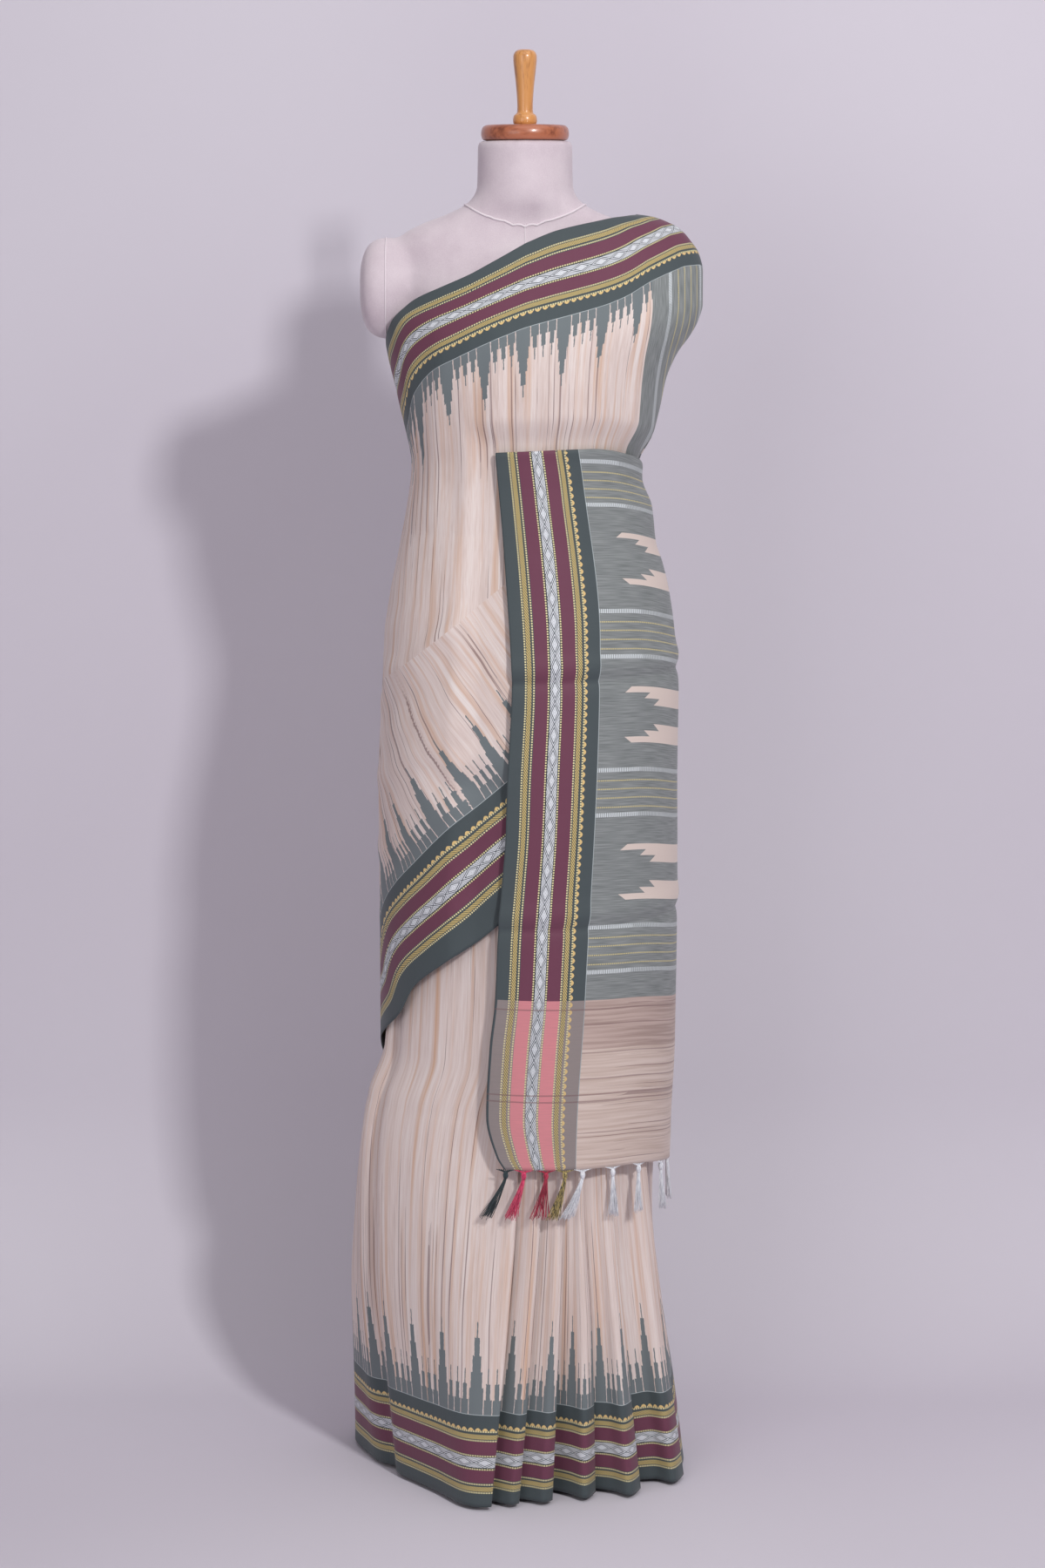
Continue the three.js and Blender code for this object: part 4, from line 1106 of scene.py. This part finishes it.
# Tassels: where each knot hangs, its yarns, and how far its strands lean to the viewer's right
TASSELS = {
    "angle": [-7.5, -0.5, 8, 15.4, 22.6, 36, 50, 68, 98, 122, 144, 167],
    "yarn": ["green", "pink", "red", "gold"] + ["white"] * 8,
    "lean": [-30, -20, -10, -20, -30, 0, -6, 6, 0, 3, -4, 5],
    "spread": [7, 7, 12, 7, 8, 6, 6, 8, 7, 7, 7, 7],
}
KNOT_HEIGHT = 9
TASSEL_DROP = 62
STRANDS = 34


def pallu_underside(angle):
    if angle > SIDE_SEAM:
        z = along(PANEL_BOTTOM, SIDE_SEAM)
        return on_section(OUTER, z, angle, back_folds(angle, z))
    low = PANEL_EDGE["z"][0]
    edge = np.degrees(np.arcsin(PANEL_EDGE["x"][0] / along(OUTER, low, "left")))
    upright = lerp(PANEL_START, SIDE_SEAM, (angle - edge) / (SIDE_SEAM - edge))
    return on_section(OUTER, along(PANEL_BOTTOM, upright), angle)


def strand(route, radius):
    """A four-sided thread along a route of points."""
    route = np.asarray(route, float)
    way = np.gradient(route, axis=0)
    way /= np.linalg.norm(way, axis=1, keepdims=True)
    side = np.cross(way, [0.3, 1.0, 0.2])
    side /= np.linalg.norm(side, axis=1, keepdims=True)
    other = np.cross(way, side)
    turn = np.radians([0, 90, 180, 270])
    thin = np.linspace(1, 0.7, len(route))[:, None, None] * radius
    around = side[:, None] * np.cos(turn)[:, None] + other[:, None] * np.sin(turn)[:, None]
    return ringed(route[:, None] + thin * around)


def tassel(number):
    """A knot hung from gathered threads, with its strands falling and spreading below."""
    chance = np.random.default_rng(100 + number)
    angle, lean, spread = (TASSELS[key][number] for key in ("angle", "lean", "spread"))
    place = pallu_underside(angle) - [0, 0, 0.35]
    tangent = pallu_underside(angle + 1) - pallu_underside(angle)
    tangent /= np.linalg.norm(tangent)
    outward = np.array([tangent[1], -tangent[0], 0])
    lean_way = lean * abs(tangent[0]) * np.sign(tangent[0]) * tangent
    knot_top = place + [0, 0, -2.0]
    turn = np.radians(np.arange(0, 360, 30))
    heights = np.array([0, 1.2, 2.8, 4.6, 6.4, 7.8, KNOT_HEIGHT])
    radii = np.array([1.4, 2.4, 3.1, 3.3, 2.9, 2.4, 2.0])
    wide = radii[:, None] * (1 + 0.12 * np.sin(3 * turn[None, :] + heights[:, None] * 1.4))
    parts = [ringed(knot_top + joined(wide * np.cos(turn), wide * np.sin(turn), -heights[:, None]))]
    for offset in np.linspace(-11, 11, 9):
        start = place + tangent * offset + [0, 0, 0.6]
        parts.append(strand([start, lerp(start, knot_top, 0.6) - [0, 0, 0.6], knot_top - [0, 0, 2.2]], 0.55))
    root = knot_top - [0, 0, KNOT_HEIGHT - 1.5]
    t = np.linspace(0, 1, 9)[:, None]
    for k in range(STRANDS):
        reach = math.sqrt((k + 0.5) / STRANDS)
        turn_k = 2.4 * k
        across, out = reach * math.cos(turn_k), reach * math.sin(turn_k)
        length = TASSEL_DROP - KNOT_HEIGHT - 2 - 6 * chance.random()
        drift = lean_way * (length / TASSEL_DROP) + tangent * (across * spread) + outward * (out * 2.2 + 2.2)
        kink = chance.normal(0, 0.8, 2)
        wave = np.sin(t * 6 + chance.random() * 6) * t
        route = (root + tangent * across * 1.5 + outward * out * 1.5 + drift * t ** 1.15
                 - np.array([0, 0, length]) * t + tangent * wave * kink[0] + outward * wave * kink[1] * 0.5)
        parts.append(strand(route, 0.42))
    return mesh_from(f"tassel_{number + 1}_yarn", *merged(parts))


# Studio
WALL_Y = 0.58
COVE_RADIUS = 0.34
ROOM_HALF = 4.5
ROOM_FRONT = -6.0
ROOM_TOP = 4.0
FLOOR_REACH = 12.0


def backdrop_paint():
    """A plain pale backdrop. Its far side is see-through, so that a view from behind passes it."""
    paint = Surface("backdrop_paint", 0.95, Specular_IOR_Level=0.1)
    x, y, z = paint.position()
    tone = paint.noise(x / 900, y / 900, z / 900, 1.0)
    paint.put("Base Color", paint.ramp(tone, [(0.35, "d2ccd6"), (0.65, "d8d3dc")]))
    tree = paint.tree
    clear = tree.nodes.new("ShaderNodeBsdfTransparent")
    facing = tree.nodes.new("ShaderNodeNewGeometry")
    mix = tree.nodes.new("ShaderNodeMixShader")
    tree.links.new(facing.outputs["Backfacing"], mix.inputs[0])
    tree.links.new(paint.shader.outputs[0], mix.inputs[1])
    tree.links.new(clear.outputs[0], mix.inputs[2])
    tree.links.new(mix.outputs[0], tree.nodes["Material Output"].inputs["Surface"])
    return paint.material


def backdrop():
    turn = np.radians(np.linspace(0, 90, 13))
    cove_y = WALL_Y - COVE_RADIUS + COVE_RADIUS * np.sin(turn)
    cove_z = COVE_RADIUS - COVE_RADIUS * np.cos(turn)
    y = np.concatenate([[ROOM_FRONT], cove_y, [WALL_Y]])
    z = np.concatenate([[0], cove_z, [ROOM_TOP]])
    edges = [joined(x, y, z) / MM for x in (-ROOM_HALF, ROOM_HALF)]
    sweep = mesh_from("backdrop", np.concatenate(edges), grid_faces(2, len(y), 0, True))
    far = FLOOR_REACH / MM
    corners = np.array([[-far, -far, 0], [far, -far, 0], [far, far, 0], [-far, far, 0]]) - [0, 0, 1]
    floor = mesh_from("floor", corners, np.array([[0, 1, 2, 3]]))
    paint = backdrop_paint()
    for piece in (sweep, floor):
        piece.data.materials.append(paint)


def area_light(name, place, aim, size, power, tint=(1, 1, 1)):
    lamp = bpy.data.lights.new(name, "AREA")
    lamp.shape, lamp.size, lamp.size_y = "RECTANGLE", size[0], size[1]
    lamp.energy, lamp.color = power, tint
    seat = in_scene(name, lamp)
    seat.location = place
    seat.rotation_euler = (Vector(aim) - Vector(place)).to_track_quat("-Z", "Y").to_euler()


def lights():
    area_light("key", (1.6, -3.6, 3.0), (0, 0, 0.9), (0.35, 0.35), 95, (1.0, 1.0, 1.0))
    area_light("fill", (-2.2, -4.2, 1.9), (0, 0, 0.9), (2.4, 2.4), 34, (0.98, 0.97, 1.0))
    area_light("back", (1.2, 4.0, 2.6), (0, 0, 0.9), (2.4, 2.4), 40, (0.98, 0.97, 1.0))
    area_light("top", (0.4, -1.0, 3.6), (0, 0, 1.0), (3.0, 2.0), 20)
    world = bpy.data.worlds.new("studio")
    world.use_nodes = True
    world.node_tree.nodes["Background"].inputs["Color"].default_value = (0.84, 0.81, 0.845, 1)
    world.node_tree.nodes["Background"].inputs["Strength"].default_value = 0.31
    bpy.context.scene.world = world
    bpy.context.scene.view_settings.view_transform = "Standard"


backdrop()
lights()


# Every piece takes its CAD node's place
def placed(piece, material, node):
    piece.data.materials.clear()
    piece.data.materials.append(material)
    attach(piece, "root")
    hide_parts(node)
    return piece


silk = saree_silk()
drape, shoulder_fringe, shoulder_z = chest_drape()
# Piece, slot, and the cut of what shows: width and length in metres, and its area in square metres
SHEETS = {
    "skirt_wrap": (skirt_wrap(), "saree_silk", (1.19, 0.77), 0.91),
    "skirt_pleats": (skirt_pleats(), "saree_silk", (1.19, 0.34), 0.4),
    "hip_wrap": (hip_wrap(), "saree_silk", (1.19, 0.64), 0.6),
    "chest_drape": (drape, "saree_silk", (0.95, 0.55), 0.39),
    "pallu_back": (pallu_back(shoulder_fringe, shoulder_z), "pallu_silk", (0.26, 1.15), 0.26),
    "pallu_end": (pallu_end(), "pallu_silk", (0.33, 0.93), 0.3),
}
for node, (piece, slot, flat, area) in SHEETS.items():
    placed(piece, silk, node)

cover = form_cover()
cotton = cotton_cover()
seams = form_seams(cover)
placed(cover, cotton, "dress_form")
piping = Surface("seam_piping", 0.9)
piping.put("Base Color", colour("e3d9de"))
for seam in seams:
    seam.data.materials.append(piping.material)
    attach(seam, "root")

disc, handle = neck_cap()
cap_wood = varnished_wood("cap_wood", "b26848", "7a3e29", (90, 12, 12))
handle_wood = varnished_wood("handle_wood", "d69758", "9c6133", (9, 9, 90))
placed(disc, cap_wood, "neck_cap_disc")
placed(handle, handle_wood, "neck_cap_handle")
pole, base = stand()
placed(pole, metal("pole_steel", "c3c5c7", 0.35, 0.9), "stand_pole")
placed(base, metal("base_paint", "29292b", 0.55, 0.0), "stand_base")

YARNS = {
    "green": yarn("green_yarn", "36454a", "1f2a2d"),
    "pink": yarn("pink_yarn", "e8557a", "b02a52"),
    "red": yarn("red_yarn", "c23a55", "7c1f33"),
    "gold": yarn("gold_yarn", "c9b373", "2f2f2c"),
    "white": yarn("white_yarn", "f0f1f5", "c9cbd4"),
}
for number, kind in enumerate(TASSELS["yarn"]):
    placed(tassel(number), YARNS[kind], f"tassel_{number + 1}")
